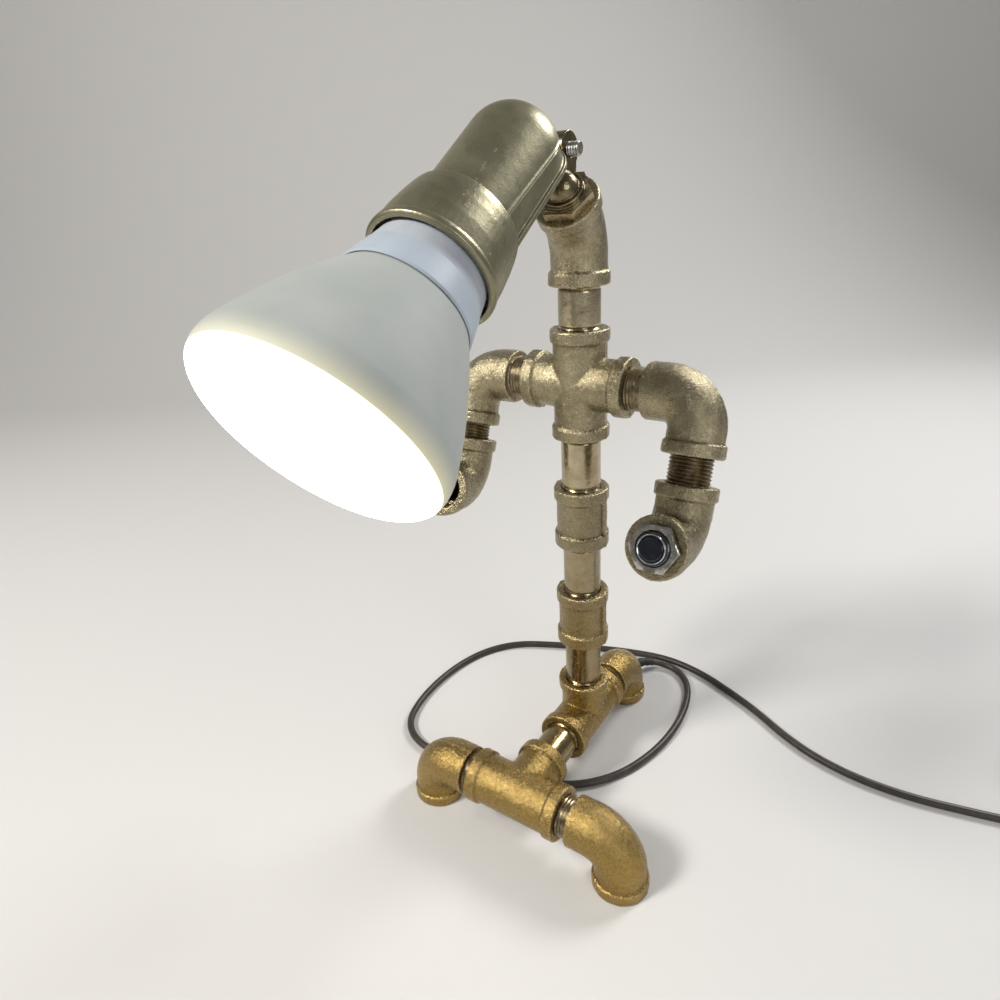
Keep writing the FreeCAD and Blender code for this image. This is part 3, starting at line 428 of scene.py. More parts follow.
def bulb_plastic():
    """The bulb's white collar: glossy by the glass, and a matt bare band round it by the lip."""
    nodes = Nodes("bulb_white")
    back = nodes.along(head_point(0, 0, 0), HEAD_BACK)
    band = nodes.spread(back, BAND_FRONT_S * MM, (BAND_FRONT_S + 0.1) * MM)
    cloud = nodes.spread(nodes.noise(130.0, 3.0), 0.35, 0.65)
    smooth_part = nodes.mix(cloud, (0.41, 0.47, 0.53), (0.44, 0.50, 0.56))
    band_part = nodes.mix(cloud, (0.45, 0.48, 0.53), (0.50, 0.53, 0.58))
    fine = nodes.bump(nodes.noise(1800.0, 2.0), 0.00006, 0.5)
    nodes.set(
        Base_Color=nodes.mix(band, smooth_part, band_part),
        Roughness=nodes.spread(band, 0.0, 1.0, 0.42, 0.60), Normal=fine,
    )
    return nodes.material


MATERIALS = {
    "cast_gold": cast_gold(),
    "pipe_gold": pipe_gold(),
    "holder_gold": holder_gold(),
    "swivel_dark": swivel_dark(),
    "screw_steel": plain_metal("screw_steel", (0.50, 0.49, 0.46), (0.30, 0.27, 0.22), 0.30),
    "switch_chrome": plain_metal("switch_chrome", (0.78, 0.80, 0.82), (0.62, 0.63, 0.65), 0.16),
    "button_plastic": plain_plastic("button_plastic", (0.012, 0.014, 0.024), 0.22, 0.00002),
    "black_phenolic": plain_plastic("black_phenolic", (0.02, 0.02, 0.02), 0.4),
    "brass": plain_metal("brass", (0.70, 0.53, 0.25), (0.50, 0.36, 0.15), 0.28),
    "bulb_glass": lit_glass(),
    "bulb_white": bulb_plastic(),
    "bulb_base": plain_metal("bulb_base", (0.72, 0.72, 0.70), (0.55, 0.54, 0.52), 0.25),
    "board": plain_plastic("board", (0.80, 0.80, 0.78), 0.5),
    "driver": plain_plastic("driver", (0.03, 0.16, 0.06), 0.5),
    "rubber_black": plain_plastic("rubber_black", (0.018, 0.016, 0.014), 0.6, 0.0001),
    "cord_jacket": cord_rubber(),
    "lead_jacket": plain_plastic("lead_jacket", (0.10, 0.09, 0.08), 0.5),
    "plug_black": plain_plastic("plug_black", (0.02, 0.018, 0.016), 0.5, 0.0001),
}
THREAD_METAL = thread_metal()
DARK_THREAD = plain_metal("dark_thread", (0.09, 0.09, 0.10), (0.16, 0.16, 0.17), 0.3)
NODE_SLOTS = {row["node"]: row["material_slot"] for row in frame["record"]["subparts"]}
NODE_BODIES = {
    node: body for body, nodes in frame["record"]["behaviour"]["bodies"].items() for node in nodes
}


def dress_cad_nodes():
    """Gives the part's own pieces the material of their slot."""
    for name, piece in frame["nodes"].items():
        for slot in piece.material_slots:
            slot.link = "DATA"
            slot.material = MATERIALS[NODE_SLOTS[name]]


# ---------------------------------------------------------------- mesh helpers
def ease(value):
    """From 0 to 1 with a soft start and end."""
    value = min(1.0, max(0.0, value))
    return value * value * (3.0 - 2.0 * value)


def add_piece(name, mesh, body, slot, material=None):
    """A visible piece that rides a body, in its slot's material unless another is given."""
    piece = bpy.data.objects.new(name, mesh)
    bpy.context.collection.objects.link(piece)
    mesh.materials.clear()
    mesh.materials.append(material or MATERIALS[slot])
    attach(piece, body)
    return piece


def basis(axis):
    """Two directions square to axis and to each other."""
    start = X_AXIS if abs(axis.x) < 0.9 else Y_AXIS
    first = axis.cross(start).normalized()
    return first, axis.cross(first).normalized()


def turned_mesh(name, profile, start, axis, steps, radius_of=None):
    """Turns (along, radius) points about the line through start; millimetres, closed outline."""
    first, second = basis(axis)
    mesh_builder = bmesh.new()
    rings = []
    for index in range(steps):
        angle = 2 * math.pi * index / steps
        out = first * math.cos(angle) + second * math.sin(angle)
        ring = []
        for along, radius in profile:
            if radius_of is not None:
                radius = radius_of(along, radius, angle)
            ring.append(mesh_builder.verts.new(start + (axis * along + out * radius) * MM))
        rings.append(ring)
    count = len(profile)
    for index in range(steps):
        here, after = rings[index], rings[(index + 1) % steps]
        for step in range(count):
            ahead = (step + 1) % count
            mesh_builder.faces.new((here[step], after[step], after[ahead], here[ahead]))
    bmesh.ops.remove_doubles(mesh_builder, verts=mesh_builder.verts, dist=1e-7)
    bmesh.ops.recalc_face_normals(mesh_builder, faces=mesh_builder.faces)
    mesh = bpy.data.meshes.new(name)
    mesh_builder.to_mesh(mesh)
    mesh_builder.free()
    return mesh


def smooth(mesh, sharp_degrees):
    mesh.shade_smooth()
    mesh.set_sharp_from_angle(angle=math.radians(sharp_degrees))


# ---------------------------------------------------------------- cast fittings
SAND_VOXEL = 0.5 * MM
DIE_VOXEL = 0.34 * MM
SAND_LUMP = 0.12 * MM
SAND_LUMP_SCALE = 300.0
SEAM_HIGH = 0.30 * MM
SEAM_WIDE = 0.55 * MM
RIB_HIGH = 0.4 * MM
RIB_HALF_WIDTH = 1.2 * MM
RIB_GROOVE = 2.2 * MM
RIB_GROOVE_WIDE = 0.5 * MM
# A rib fades in where the skin turns this far sideways, in millimetres from the column's axis.
RIB_FADE_START = 6.0
RIB_FADE = 4.0
# The skin faces a direction where the cosine between the two passes this.
FACING = 0.5
# Inside this radius a coupling's skin is its body or its rib, and outside it is a band.
COUPLING_BAND_R = 15.05 * MM
NECK_TURN = math.radians(8.0)

# The upper edge of the lampholder's side strip runs between these places (s, h), with a bead
# above it and a groove below it, in millimetres.
STRIP_START = (105.6, 2.2)
STRIP_END = (168.5, -1.6)
STRIP_OUT = 19.0
STRIP_BEAD = 0.5 * MM
BEAD_ABOVE = 0.6
GROOVE_BELOW = 0.5
GROOVE_SHARE = 0.8
BEAD_WIDE = 0.5


def mould_seams():
    """For each fitting, a point and the normal of the plane where its mould halves met."""
    across = Vector((math.cos(NECK_TURN), math.sin(NECK_TURN), 0))
    planes = {
        "base_tee": (COLUMN, X_AXIS),
        "front_tee": (FRONT_TEE, Z_AXIS),
        "left_foot_elbow": (FRONT_TEE, Y_AXIS),
        "right_foot_elbow": (FRONT_TEE, Y_AXIS),
        "rear_foot_elbow": (COLUMN, X_AXIS),
        "lower_coupling": (COLUMN, Y_AXIS),
        "upper_coupling": (COLUMN, Y_AXIS),
        "chest_cross": (CHEST, Y_AXIS),
        "neck_elbow": (COLUMN, across),
    }
    for side in ("right", "left"):
        arm = joint_axis(side + "_hand_twist")
        mouth, out = hand_mouth(side)
        planes[side + "_shoulder_elbow"] = (CHEST, X_AXIS.cross(arm).normalized())
        planes[side + "_hand_elbow"] = (mouth, out.cross(arm).normalized())
    return planes


def welded(mesh):
    """Joins the vertices that faces of the solid share."""
    welder = bmesh.new()
    welder.from_mesh(mesh)
    bmesh.ops.remove_doubles(welder, verts=welder.verts, dist=1e-6)
    welder.to_mesh(mesh)
    welder.free()


def worn_copy(node, voxel):
    """A close mesh of a piece of the part, its edges rounded a little by paint and wear."""
    slot = NODE_SLOTS[node]
    mesh = frame["nodes"][node].data.copy()
    piece = add_piece(node + "_worn", mesh, NODE_BODIES[node], slot)
    welded(mesh)
    remesh = piece.modifiers.new("remesh", "REMESH")
    remesh.mode = "VOXEL"
    remesh.voxel_size = voxel
    soften = piece.modifiers.new("soften", "SMOOTH")
    soften.iterations = 1
    soften.factor = 0.5
    depsgraph = bpy.context.evaluated_depsgraph_get()
    made = bpy.data.meshes.new_from_object(piece.evaluated_get(depsgraph))
    piece.modifiers.clear()
    piece.data = made
    made.materials.clear()
    made.materials.append(MATERIALS[slot])
    made.shade_smooth()
    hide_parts(node)
    return made


def seam_height(normal, from_seam, seam_normal):
    """The thin ridge where the mould's halves met."""
    if abs(normal.dot(seam_normal)) >= FACING:
        return 0.0
    return SEAM_HIGH * math.exp(-(from_seam / SEAM_WIDE) ** 2)


def rib_height(place, normal, from_seam):
    """How much fuller a coupling's rib stands at its side, with a groove along each edge."""
    rib = math.exp(-(from_seam / RIB_HALF_WIDTH) ** 4)
    groove = math.exp(-((abs(from_seam) - RIB_GROOVE) / RIB_GROOVE_WIDE) ** 2)
    sideways = normal.x * (place.x - COLUMN.x) / MM
    return RIB_HIGH * (rib - groove) * ease((sideways - RIB_FADE_START) / RIB_FADE)


def cast_fitting(node, seam_point, seam_normal):
    """A fitting with the lumpy skin that a sand mould leaves, and its seam or its ribs."""
    made = worn_copy(node, SAND_VOXEL)
    normals = [vertex.normal.copy() for vertex in made.vertices]
    for vertex, normal in zip(made.vertices, normals):
        lump = noise.fractal(vertex.co * SAND_LUMP_SCALE, 1.0, 2.0, 2) * SAND_LUMP
        from_seam = (vertex.co - seam_point).dot(seam_normal)
        from_column = math.hypot(vertex.co.x - COLUMN.x, vertex.co.y - COLUMN.y)
        if "coupling" in node and from_column < COUPLING_BAND_R:
            raised = rib_height(vertex.co, normal, from_seam)
        else:
            raised = seam_height(normal, from_seam, seam_normal)
        vertex.co += normal * (lump + raised)
        vertex.co.z = max(vertex.co.z, 0.0)


def lampholder_casting():
    """The lampholder, with a bead and a groove along the upper edge of each side strip."""
    made = worn_copy("lampholder", DIE_VOXEL)
    middle_line = head_point(0, 0, 0)
    slope = (STRIP_END[1] - STRIP_START[1]) / (STRIP_END[0] - STRIP_START[0])
    normals = [vertex.normal.copy() for vertex in made.vertices]
    for vertex, normal in zip(made.vertices, normals):
        offset = (vertex.co - middle_line) / MM
        s = offset.dot(HEAD_BACK)
        h = offset.dot(HEAD_UP)
        above = h - STRIP_START[1] - slope * (s - STRIP_START[0])
        side = X_AXIS * math.copysign(1.0, offset.x)
        on_strip = STRIP_START[0] < s < STRIP_END[0] and abs(offset.x) > STRIP_OUT
        if on_strip and normal.dot(side) > FACING:
            bead = math.exp(-((above - BEAD_ABOVE) / BEAD_WIDE) ** 2)
            groove = math.exp(-((above + GROOVE_BELOW) / BEAD_WIDE) ** 2)
            vertex.co += side * (STRIP_BEAD * (bead - GROOVE_SHARE * groove))


# ---------------------------------------------------------------- threads and nipples
THREAD_STEPS = 64
# Millimetres
THREAD_RUNG = 0.3
THREAD_WALL = 0.5
THREAD_START = 0.2
THREAD_FADE = 0.8
PIPE_THREAD_DEEP = 0.9
THREAD_RUN_OUT = 1.2
THREAD_SHOWN = 2.4
LONG_NIPPLE = 50.8
SHORT_NIPPLE = 38.1
ARM_NIPPLE = 28.6
FRONT_GAP = 20.9
STREET_CREST_R = 11.15
STREET_ROOT_R = 10.72
PORT_LEAD = 0.6
PORT_STOP = 0.3
PORT_FADE = 3.0


def ridge(along, angle, pitch):
    """Height of a thread at a place, from 0 in the root to 1 on the crest."""
    turn = (along / pitch + angle / (2 * math.pi)) % 1.0
    return 1.0 - abs(2.0 * turn - 1.0)


def street_thread(name, start, axis, length, body):
    """The thread in view on a screwed end, wrapped round the part's plain cylinder."""
    count = max(4, round(length / THREAD_RUNG))
    outer = [(length * index / count, STREET_ROOT_R) for index in range(count + 1)]
    inner = [(length, STREET_ROOT_R - THREAD_WALL), (0.0, STREET_ROOT_R - THREAD_WALL)]

    def radius_of(along, radius, angle):
        if radius < STREET_ROOT_R:
            return radius
        from_end = min(along, length - along)
        fade = min(1.0, (from_end + THREAD_START) / THREAD_FADE)
        crest = (STREET_CREST_R - STREET_ROOT_R) * ridge(along, angle, PIPE_PITCH)
        return STREET_ROOT_R + crest * fade

    mesh = turned_mesh(name, outer + inner, start, axis, THREAD_STEPS, radius_of)
    smooth(mesh, 50.0)
    add_piece(name, mesh, body, "cast_gold", THREAD_METAL)


def threaded_nipple(node, start, axis, gap, length, thread_shown):
    """A pipe nipple: smooth in the middle, its threads running a little out of each port."""
    hidden = (length - gap) / 2
    thread = hidden + thread_shown
    count = round(length / THREAD_RUNG)
    outer = [(length * index / count, PIPE_R) for index in range(count + 1)]
    inner = [(length, PIPE_BORE_R), (0.0, PIPE_BORE_R)]

    def radius_of(along, radius, angle):
        if radius < PIPE_R:
            return radius
        from_end = min(along, length - along)
        depth = min(1.0, max(0.0, (thread - from_end) / THREAD_RUN_OUT))
        root = PIPE_THREAD_DEEP * (1.0 - ridge(along, angle, PIPE_PITCH))
        return PIPE_R - root * depth

    name = node + "_pipe"
    end = start - axis * (hidden * MM)
    mesh = turned_mesh(name, outer + inner, end, axis, THREAD_STEPS, radius_of)
    smooth(mesh, 50.0)
    material = THREAD_METAL if thread_shown * 2 >= gap else None
    piece = add_piece(name, mesh, NODE_BODIES[node], "pipe_gold", material)
    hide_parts(node)


def nipples():
    """Every nipple: each starts at the face of a port, and the gap is what shows of it."""
    column = (
        ("lower_nipple", 29.5, LONG_NIPPLE), ("middle_nipple", 31.0, LONG_NIPPLE),
        ("upper_nipple", 29.2, LONG_NIPPLE), ("neck_nipple", 20.7, SHORT_NIPPLE),
    )
    for node, gap, length in column:
        face = corners(node)[0].z + (length - gap) / 2 * MM
        start = Vector((COLUMN.x, COLUMN.y, face))
        threaded_nipple(node, start, Z_AXIS, gap, length, THREAD_SHOWN)
    face = corners("front_nipple")[1].y - (SHORT_NIPPLE - FRONT_GAP) / 2 * MM
    start = Vector((COLUMN.x, face, FRONT_TEE.z))
    threaded_nipple("front_nipple", start, Y_AXIS * -1, FRONT_GAP, SHORT_NIPPLE, THREAD_SHOWN)
    for side, gap in (("right", 13.6), ("left", 8.6)):
        twist = side + "_hand_twist"
        up = joint_axis(twist)
        start = Vector(JOINTS[twist]["pos_m"]) + up * (gap * MM)
        threaded_nipple(side + "_arm_nipple", start, up * -1, gap, ARM_NIPPLE, gap)


def street_threads():
    """Threads in view on the screwed ends of the feet and the shoulders."""
    past_face = STREET_SHOULDER + CENTRE_TO_END
    to_face = CENTRE_TO_END * MM
    for side, name in ((1, "right"), (-1, "left")):
        out = X_AXIS * side
        rows = (("_foot", FRONT_TEE, "stand"), ("_shoulder", CHEST, name + "_arm"))
        for elbow, centre, body in rows:
            low, high = corners(name + elbow + "_elbow")
            reach = high.x - COLUMN.x if side > 0 else COLUMN.x - low.x
            shown = reach / MM - BAND_R - past_face
            street_thread(name + elbow + "_thread", centre + out * to_face, out, shown, body)
    face = Vector((COLUMN.x, COLUMN.y + to_face, FRONT_TEE.z))
    reach = corners("rear_foot_elbow")[1].y - COLUMN.y
    street_thread("rear_foot_thread", face, Y_AXIS, reach / MM - BAND_R - past_face, "stand")


def port_thread(name, face, outward, body):
    """The thread cut inside an open port, from just inside its face."""
    count = round(PORT_DEPTH / THREAD_RUNG)
    rung = (PORT_DEPTH - PORT_LEAD - PORT_STOP) / count
    wall = [(PORT_LEAD + rung * index, PORT_R) for index in range(count + 1)]
    outside_r = PORT_R + THREAD_WALL
    outside = [(PORT_DEPTH - PORT_STOP, outside_r), (PORT_LEAD, outside_r)]

    def radius_of(along, radius, angle):
        if radius > PORT_R:
            return radius
        crest = PIPE_THREAD_DEEP * ridge(along, angle, PIPE_PITCH)
        return PORT_R - crest * min(1.0, along / PORT_FADE)

    mesh = turned_mesh(name, wall + outside, face, outward * -1, THREAD_STEPS, radius_of)
    smooth(mesh, 50.0)
    add_piece(name, mesh, body, "cast_gold", THREAD_METAL)


def open_port_threads():
    """Threads in the ports that nothing is screwed into."""
    for name in ("left_foot_mouth", "right_foot_mouth"):
        mount = MOUNTS[name]
        outward = Vector(mount["axis"])
        face = Vector(mount["pos_m"]) + outward * (PORT_DEPTH / 2 * MM)
        port_thread(name + "_thread", face, outward, "stand")
    face, outward = hand_mouth("left")
    port_thread("left_hand_thread", face, outward, "left_hand")


# ---------------------------------------------------------------- turned hardware
# How far a hexagon's rim stands past its flats before its corners are turned down, as a share
NUT_CHAMFER = 0.16
CHAMFER_SLOPE = 0.55


def hex_radius(flats, angle):
    """How far a hexagon's side lies from its middle in the direction of angle."""
    sector = math.radians(60)
    return flats / 2 / math.cos((angle + sector / 2) % sector - sector / 2)


# Millimetres; places along the switch are measured out from the hand's mouth.
NUT_FLATS = 21.6
NUT_BEVEL = 0.2
NUT_GAP = 0.1
NUT_THICK = 3.4
NUT_ROWS = 10
BORE_BEVEL = 0.5
SPIGOT_R = 10.6
SPIGOT_BEVEL = 0.6
SPIGOT_BEVEL_LONG = 0.8
SPIGOT_LENGTH = 7.0
SWITCH_BORE_R = 8.0
BARREL_CREST_R = 7.9
BARREL_ROOT_R = 7.35
BARREL_FRONT = 4.4
BARREL_BACK = -14.2
BARREL_PITCH = 1.0
BARREL_FADE = 0.5
# The share of its depth that the barrel's thread keeps at the front
BARREL_END_SHARE = 0.2
WELL_R = 6.0
SWITCH_STEPS = 96
CAP_STEPS = 72


def hand_bushing(mouth, out):
    """The hand's hex bushing: a nut with turned-down corners, and its spigot in the port."""
    up = joint_axis("right_hand_twist")
    first, second = basis(out)
    corner = math.atan2(up.dot(second), up.dot(first))
    front = NUT_THICK / 2
    flat = NUT_FLATS / 2
    face_r = flat - NUT_BEVEL
    rim = flat * (1.0 + NUT_CHAMFER)
    deep = rim * NUT_CHAMFER * CHAMFER_SLOPE
    bore_rim = SWITCH_BORE_R + BORE_BEVEL
    end = -SPIGOT_LENGTH - NUT_GAP - front
    profile = [
        (end, bore_rim), (end, SPIGOT_R - SPIGOT_BEVEL), (end + SPIGOT_BEVEL_LONG, SPIGOT_R),
        (-front, SPIGOT_R), (-front, face_r),
    ]
    for index in range(NUT_ROWS + 1):
        profile.append((-front + NUT_THICK * index / NUT_ROWS, rim))
    profile += [
        (front, face_r), (front, bore_rim), (front - BORE_BEVEL, SWITCH_BORE_R),
        (end + BORE_BEVEL, SWITCH_BORE_R),
    ]

    def radius_of(along, radius, angle):
        if radius < rim:
            return radius
        from_face = front - abs(along)
        cone = face_r + (rim - flat + 2 * NUT_BEVEL) * min(1.0, from_face / deep)
        return min(cone, hex_radius(NUT_FLATS, angle - corner))

    place = mouth + out * ((NUT_GAP + front) * MM)
    mesh = turned_mesh("hand_hex_nut_turned", profile, place, out, SWITCH_STEPS, radius_of)
    smooth(mesh, 28.0)
    piece = add_piece("hand_hex_nut_turned", mesh, NODE_BODIES["hand_hex_nut"], "screw_steel")
    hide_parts("hand_hex_nut")


def switch_barrel(mouth, out):
    """The switch's body: a threaded barrel round the button's well."""
    count = round((BARREL_FRONT - BARREL_BACK) / (BARREL_PITCH / 6))
    step = (BARREL_FRONT - BARREL_BACK) / count
    profile = [(BARREL_BACK + step * index, BARREL_CREST_R) for index in range(count + 1)]
    profile += [(BARREL_FRONT, WELL_R), (BARREL_BACK, WELL_R)]

    def radius_of(along, radius, angle):
        if radius < BARREL_CREST_R:
            return radius
        fade = min(1.0, (BARREL_FRONT - along) / BARREL_FADE + BARREL_END_SHARE)
        crest = (BARREL_CREST_R - BARREL_ROOT_R) * ridge(along, angle, BARREL_PITCH)
        return BARREL_ROOT_R + crest * fade

    mesh = turned_mesh("switch_barrel", profile, mouth, out, SWITCH_STEPS, radius_of)
    smooth(mesh, 50.0)
    body = NODE_BODIES["switch_body"]
    piece = add_piece("switch_barrel", mesh, body, "switch_chrome", DARK_THREAD)
    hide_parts("switch_body")


def switch_front(mouth, out):
    """The switch's bright ring, and its button with a dished front."""
    bezel = [
        (2.8, WELL_R), (2.8, 6.9), (5.2, 6.9), (5.6, 6.8), (5.8, 6.6), (5.8, 6.35),
        (5.6, 6.12), (5.2, 6.02),
    ]
    mesh = turned_mesh("switch_bezel", bezel, mouth, out, SWITCH_STEPS)
    smooth(mesh, 32.0)
    add_piece("switch_bezel", mesh, NODE_BODIES["switch_body"], "switch_chrome")

    cap = [
        (-1.8, 0.0), (-1.8, 5.85), (5.3, 5.85), (5.75, 5.72), (6.05, 5.4), (6.18, 4.9),
        (6.2, 4.3), (6.1, 3.4), (5.95, 2.2), (5.9, 1.0), (5.88, 0.0),
    ]
    mesh = turned_mesh("switch_button_cap", cap, mouth, out, CAP_STEPS)
    smooth(mesh, 32.0)
    button = NODE_BODIES["switch_button"]
    piece = add_piece("switch_button_cap", mesh, button, "button_plastic")
    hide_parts("switch_button")


SCREW_R = 3.175
SCREW_THREAD_DEEP = 0.55
SCREW_HEAD_FLATS = 11.1
SCREW_HEAD_THICK = 4.4
SCREW_HEAD_ROWS = 8
SCREW_PITCH = 1.27
SCREW_RUNG = 0.16
SCREW_STEPS = 72
HEAD_BEVEL = 0.6
HEAD_BEVEL_OUT = 1.4
HEAD_BEVEL_DEEP = 0.9
SHANK_PLAIN = 0.2
POINT_IN = 0.5
POINT_LONG = 0.8


def swivel_screw():
    """The knuckle's screw in one turned mesh: chamfered hex head, then its threaded shank."""
    node = "swivel_screw"
    low, high = corners(node)
    start = Vector((low.x, KNUCKLE.y, KNUCKLE.z))
    length = (high.x - low.x) / MM
    shank = length - SCREW_HEAD_THICK
    head_rim = SCREW_HEAD_FLATS / 2 * (1.0 + NUT_CHAMFER)
    face_r = SCREW_HEAD_FLATS / 2 - HEAD_BEVEL
    profile = [(0.0, 0.0), (0.0, face_r)]
    for index in range(SCREW_HEAD_ROWS + 1):
        profile.append((SCREW_HEAD_THICK * index / SCREW_HEAD_ROWS, head_rim))
    count = round(shank / SCREW_RUNG)
    for index in range(count + 1):
        profile.append((SCREW_HEAD_THICK + shank * index / count, SCREW_R))
    profile.append((length, 0.0))

    def radius_of(along, radius, angle):
        if radius == head_rim:
            cone = face_r + HEAD_BEVEL_OUT * min(1.0, along / HEAD_BEVEL_DEEP)
            return min(cone, hex_radius(SCREW_HEAD_FLATS, angle))
        if radius == SCREW_R and along > SCREW_HEAD_THICK + SHANK_PLAIN:
            root = SCREW_THREAD_DEEP * (1.0 - ridge(along, angle, SCREW_PITCH))
            point = POINT_IN * (1.0 - min(1.0, (length - along) / POINT_LONG))
            return SCREW_R - root - point
        return radius

    mesh = turned_mesh(node + "_turned", profile, start, X_AXIS, SCREW_STEPS, radius_of)
    smooth(mesh, 30.0)
    piece = add_piece(node + "_turned", mesh, NODE_BODIES[node], NODE_SLOTS[node])
    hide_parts(node)


# ---------------------------------------------------------------- cord, coil and plug
# The same points as the part's cord, from the column's foot, in metres.
CORD_ROUTE = [
    (0.0, 0.079, 0.0104), (0.0004, 0.088, 0.0082), (0.0086, 0.099, 0.0044),
    (0.0214, 0.1016, 0.0026), (0.0336, 0.0946, 0.0024), (0.0414, 0.082, 0.0024),
    (0.046, 0.062, 0.0024), (0.0468, 0.038, 0.0024), (0.0426, 0.012, 0.0024),
    (0.0326, -0.014, 0.0024), (0.0144, -0.035, 0.0024), (-0.012, -0.0474, 0.0024),
    (-0.04, -0.054, 0.0024), (-0.068, -0.0574, 0.0024), (-0.094, -0.058, 0.0024),
    (-0.113, -0.0474, 0.0024), (-0.121, -0.027, 0.0024), (-0.1236, -0.001, 0.0024),
    (-0.121, 0.026, 0.0024), (-0.1126, 0.05, 0.0024), (-0.096, 0.0696, 0.0024),
    (-0.071, 0.082, 0.0024), (-0.044, 0.093, 0.0024), (-0.014, 0.1036, 0.0024),
    (0.015, 0.1098, 0.0024), (0.042, 0.1056, 0.0024), (0.066, 0.0956, 0.0024),
    (0.088, 0.0846, 0.0024), (0.108, 0.0714, 0.0024), (0.13, 0.061, 0.0024),
    (0.156, 0.0556, 0.0024), (0.184, 0.056, 0.0024), (0.212, 0.0614, 0.0024),
    (0.239, 0.0674, 0.0024),
]
COIL_CENTRE = Vector((0.268, 0.096, 0.0))
COIL_R = 0.025
COIL_TURNS = 6
COIL_LAYER_TURNS = 3
COIL_FIRST_Z = 0.0024
COIL_SECOND_Z = 0.007
COIL_START_DEGREES = -103.0
COIL_STEPS = 16
# The last share of a turn, in which the cord moves over to its next ring or layer
COIL_SHIFT = 0.3
PLUG_START = Vector((0.299, 0.103, 0.0075))


def coil_point(turns):
    """A control point of the coil after so many turns, first layer inwards, second outwards."""
    whole = int(turns)
    shift = whole + ease((turns - whole - 1.0 + COIL_SHIFT) / COIL_SHIFT)
    outward = abs(shift - COIL_LAYER_TURNS + 0.5) - 0.5
    outward = min(outward, COIL_LAYER_TURNS - 1.0)
    if COIL_LAYER_TURNS - 1 < shift < COIL_LAYER_TURNS:
        outward = 0.0
    radius = COIL_R + (outward - 1.0) * 2 * CORD_R * MM
    radius /= math.cos(math.pi / COIL_STEPS)
    rise = ease((turns - COIL_LAYER_TURNS + COIL_SHIFT) / COIL_SHIFT)
    z = COIL_FIRST_Z + (COIL_SECOND_Z - COIL_FIRST_Z) * rise
    angle = math.radians(COIL_START_DEGREES) + 2 * math.pi * turns
    return COIL_CENTRE + Vector((radius * math.cos(angle), radius * math.sin(angle), z))


SLEEVE_LENGTH = 22.0 * MM
SLEEVE_START_R = 3.9 * MM
SLEEVE_END_R = 2.7 * MM
SLEEVE_GROOVE = 0.4 * MM
SLEEVE_RING = 2.6 * MM
SLEEVE_INNER_R = (CORD_R - 0.2) * MM
SLEEVE_SIDES = 24


def route_of(cord):
    """The points of the cord's centre line, read from its spline."""
    line = cord.data.copy()
    line.bevel_depth = 0.0
    carrier = bpy.data.objects.new("route", line)
    mesh = bpy.data.meshes.new_from_object(carrier)
    places = [vertex.co.copy() for vertex in mesh.vertices]
    bpy.data.objects.remove(carrier)
    return places


def ring_round(builder, place, ahead, radius):
    """A ring of vertices round a place of the cord."""
    first = ahead.cross(Z_AXIS).normalized()
    second = first.cross(ahead)
    ring = []
    for step in range(SLEEVE_SIDES):
        angle = 2 * math.pi * step / SLEEVE_SIDES
        out = first * math.cos(angle) + second * math.sin(angle)
        ring.append(builder.verts.new(place + out * radius))
    return ring


def strain_relief(places):
    """A tapered, grooved sleeve moulded round the cord where it leaves the foot."""
    builder = bmesh.new()
    outer = []
    inner = []
    gone = 0.0
    for index, place in enumerate(places[:-1]):
        if index > 0:
            gone += (place - places[index - 1]).length
        if gone > SLEEVE_LENGTH:
            break
        ahead = (places[index + 1] - places[max(0, index - 1)]).normalized()
        radius = SLEEVE_START_R + (SLEEVE_END_R - SLEEVE_START_R) * gone / SLEEVE_LENGTH
        radius -= SLEEVE_GROOVE * (0.5 - 0.5 * math.cos(2 * math.pi * gone / SLEEVE_RING))
        outer.append(ring_round(builder, place, ahead, radius))
        inner.append(ring_round(builder, place, ahead, SLEEVE_INNER_R))
    outline = outer + inner[::-1]
    for here, after in zip(outline, outline[1:] + outline[:1]):
        for step in range(SLEEVE_SIDES):
            beside = (step + 1) % SLEEVE_SIDES
            builder.faces.new((here[step], here[beside], after[beside], after[step]))
    bmesh.ops.recalc_face_normals(builder, faces=builder.faces)
    mesh = bpy.data.meshes.new("strain_relief")
    builder.to_mesh(mesh)
    builder.free()
    smooth(mesh, 60.0)
    return add_piece("strain_relief", mesh, "stand", "rubber_black")


def power_cord():
    """The whole cord as one tube along a spline: its route, its coil, and the way to its plug."""
    points = [Vector(point) for point in CORD_ROUTE]
    last = COIL_TURNS - COIL_START_DEGREES / 360.0
    count = math.floor(last * COIL_STEPS)
    for step in range(count + 1):
        points.append(coil_point(step / COIL_STEPS))
    points += [PLUG_START, PLUG_START + Y_AXIS * (3.0 * MM)]
    data = bpy.data.curves.new("power_cord_jacket", "CURVE")
    data.dimensions = "3D"
    data.bevel_depth = CORD_R * MM
    data.bevel_resolution = 6
    data.use_fill_caps = True
    data.resolution_u = 8
    spline = data.splines.new("NURBS")
    spline.points.add(len(points) - 1)
    for control, point in zip(spline.points, points):
        control.co = (*(point + COLUMN), 1.0)
    spline.order_u = 3
    spline.use_endpoint_u = True
    cord = bpy.data.objects.new("power_cord_jacket", data)
    bpy.context.collection.objects.link(cord)
    data.materials.append(MATERIALS["cord_jacket"])
    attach(cord, "stand")
    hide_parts("power_cord", "cord_coil")
    on_cord = [frame["nodes"][name] for name in ("coil_tie", "plug_body", "plug_blades")]
    on_cord.append(strain_relief(route_of(cord)))


# ---------------------------------------------------------------- floor, light and world
WORLD_STRENGTH = 0.20
FLOOR_COLOUR = (0.62, 0.61, 0.595)
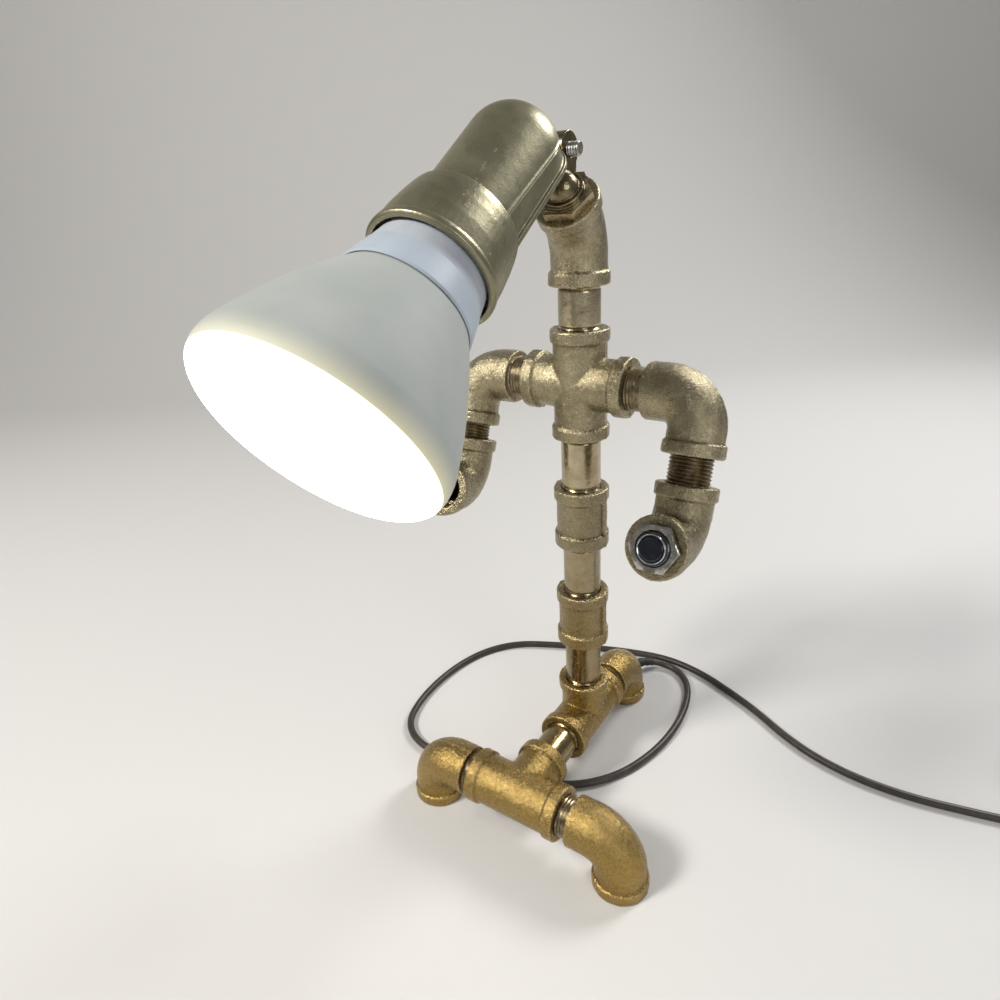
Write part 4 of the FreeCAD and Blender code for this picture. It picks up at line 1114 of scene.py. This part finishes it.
# Metres from the origin, along the way the camera looks
FLOOR_HALF_WIDTH = 3.0
FLOOR_FRONT = -2.0
FLOOR_BACK = 1.0
FLOOR_CORNER_R = 0.6
FLOOR_CORNER_STEPS = 12
WALL_TOP = 3.0


def stage():
    """A pale floor that curves up into a wall behind the lamp."""
    rows = [(FLOOR_FRONT, 0.0)]
    for step in range(FLOOR_CORNER_STEPS + 1):
        angle = math.pi / 2 * step / FLOOR_CORNER_STEPS
        along = FLOOR_BACK + FLOOR_CORNER_R * math.sin(angle)
        rows.append((along, FLOOR_CORNER_R * (1 - math.cos(angle))))
    rows.append((FLOOR_BACK + FLOOR_CORNER_R, WALL_TOP))
    turn = Matrix.Rotation(-CAMERA_YAW, 3, "Z")
    builder = bmesh.new()
    strips = []
    for along, z in rows:
        ends = [Vector((side * FLOOR_HALF_WIDTH, along, z)) for side in (-1, 1)]
        strips.append([builder.verts.new(turn @ end) for end in ends])
    for here, after in zip(strips, strips[1:]):
        builder.faces.new((here[0], here[1], after[1], after[0]))
    mesh = bpy.data.meshes.new("floor")
    builder.to_mesh(mesh)
    builder.free()
    mesh.shade_smooth()
    nodes = Nodes("floor")
    nodes.set(Base_Color=FLOOR_COLOUR, Roughness=0.7)
    mesh.materials.append(nodes.material)
    floor = bpy.data.objects.new("floor", mesh)
    bpy.context.collection.objects.link(floor)


# Name, place and diameter in metres, power in watts, colour
LIGHTS = (
    ("key", (-0.7, -1.1, 1.3), 0.45, 27.0, (1.0, 0.97, 0.92)),
    ("fill", (1.2, -0.7, 0.7), 0.6, 5.0, (0.95, 0.97, 1.0)),
    ("back", (0.4, 1.0, 1.1), 0.5, 13.0, (1.0, 1.0, 1.0)),
)
LIGHT_TARGET = COLUMN + Vector((0, -0.03, 0.17))


def area_light(name, place, size, power, colour):
    """A soft round lamp that faces the middle of the object; its place is from the column's foot."""
    data = bpy.data.lights.new(name, "AREA")
    data.shape = "DISK"
    data.size = size
    data.energy = power
    data.color = colour
    lamp = bpy.data.objects.new(name, data)
    bpy.context.collection.objects.link(lamp)
    lamp.location = COLUMN + Vector(place)
    lamp.rotation_euler = (LIGHT_TARGET - lamp.location).to_track_quat("-Z", "Y").to_euler()


def light():
    """Even grey-white surroundings and the three lamps."""
    world = bpy.data.worlds.new("world")
    bpy.context.scene.world = world
    world.use_nodes = True
    background = world.node_tree.nodes["Background"]
    background.inputs["Color"].default_value = (1.0, 1.0, 1.0, 1.0)
    background.inputs["Strength"].default_value = WORLD_STRENGTH
    for row in LIGHTS:
        area_light(*row)


# ---------------------------------------------------------------- the whole scene
bpy.context.scene.view_settings.view_transform = "Standard"
add_camera()
dress_cad_nodes()
power_cord()
for fitting, (point, normal) in mould_seams().items():
    cast_fitting(fitting, point, normal)
lampholder_casting()
worn_copy("swivel_arm", DIE_VOXEL)
nipples()
street_threads()
open_port_threads()
hand = hand_mouth("right")
hand_bushing(*hand)
switch_barrel(*hand)
switch_front(*hand)
swivel_screw()
stage()
light()
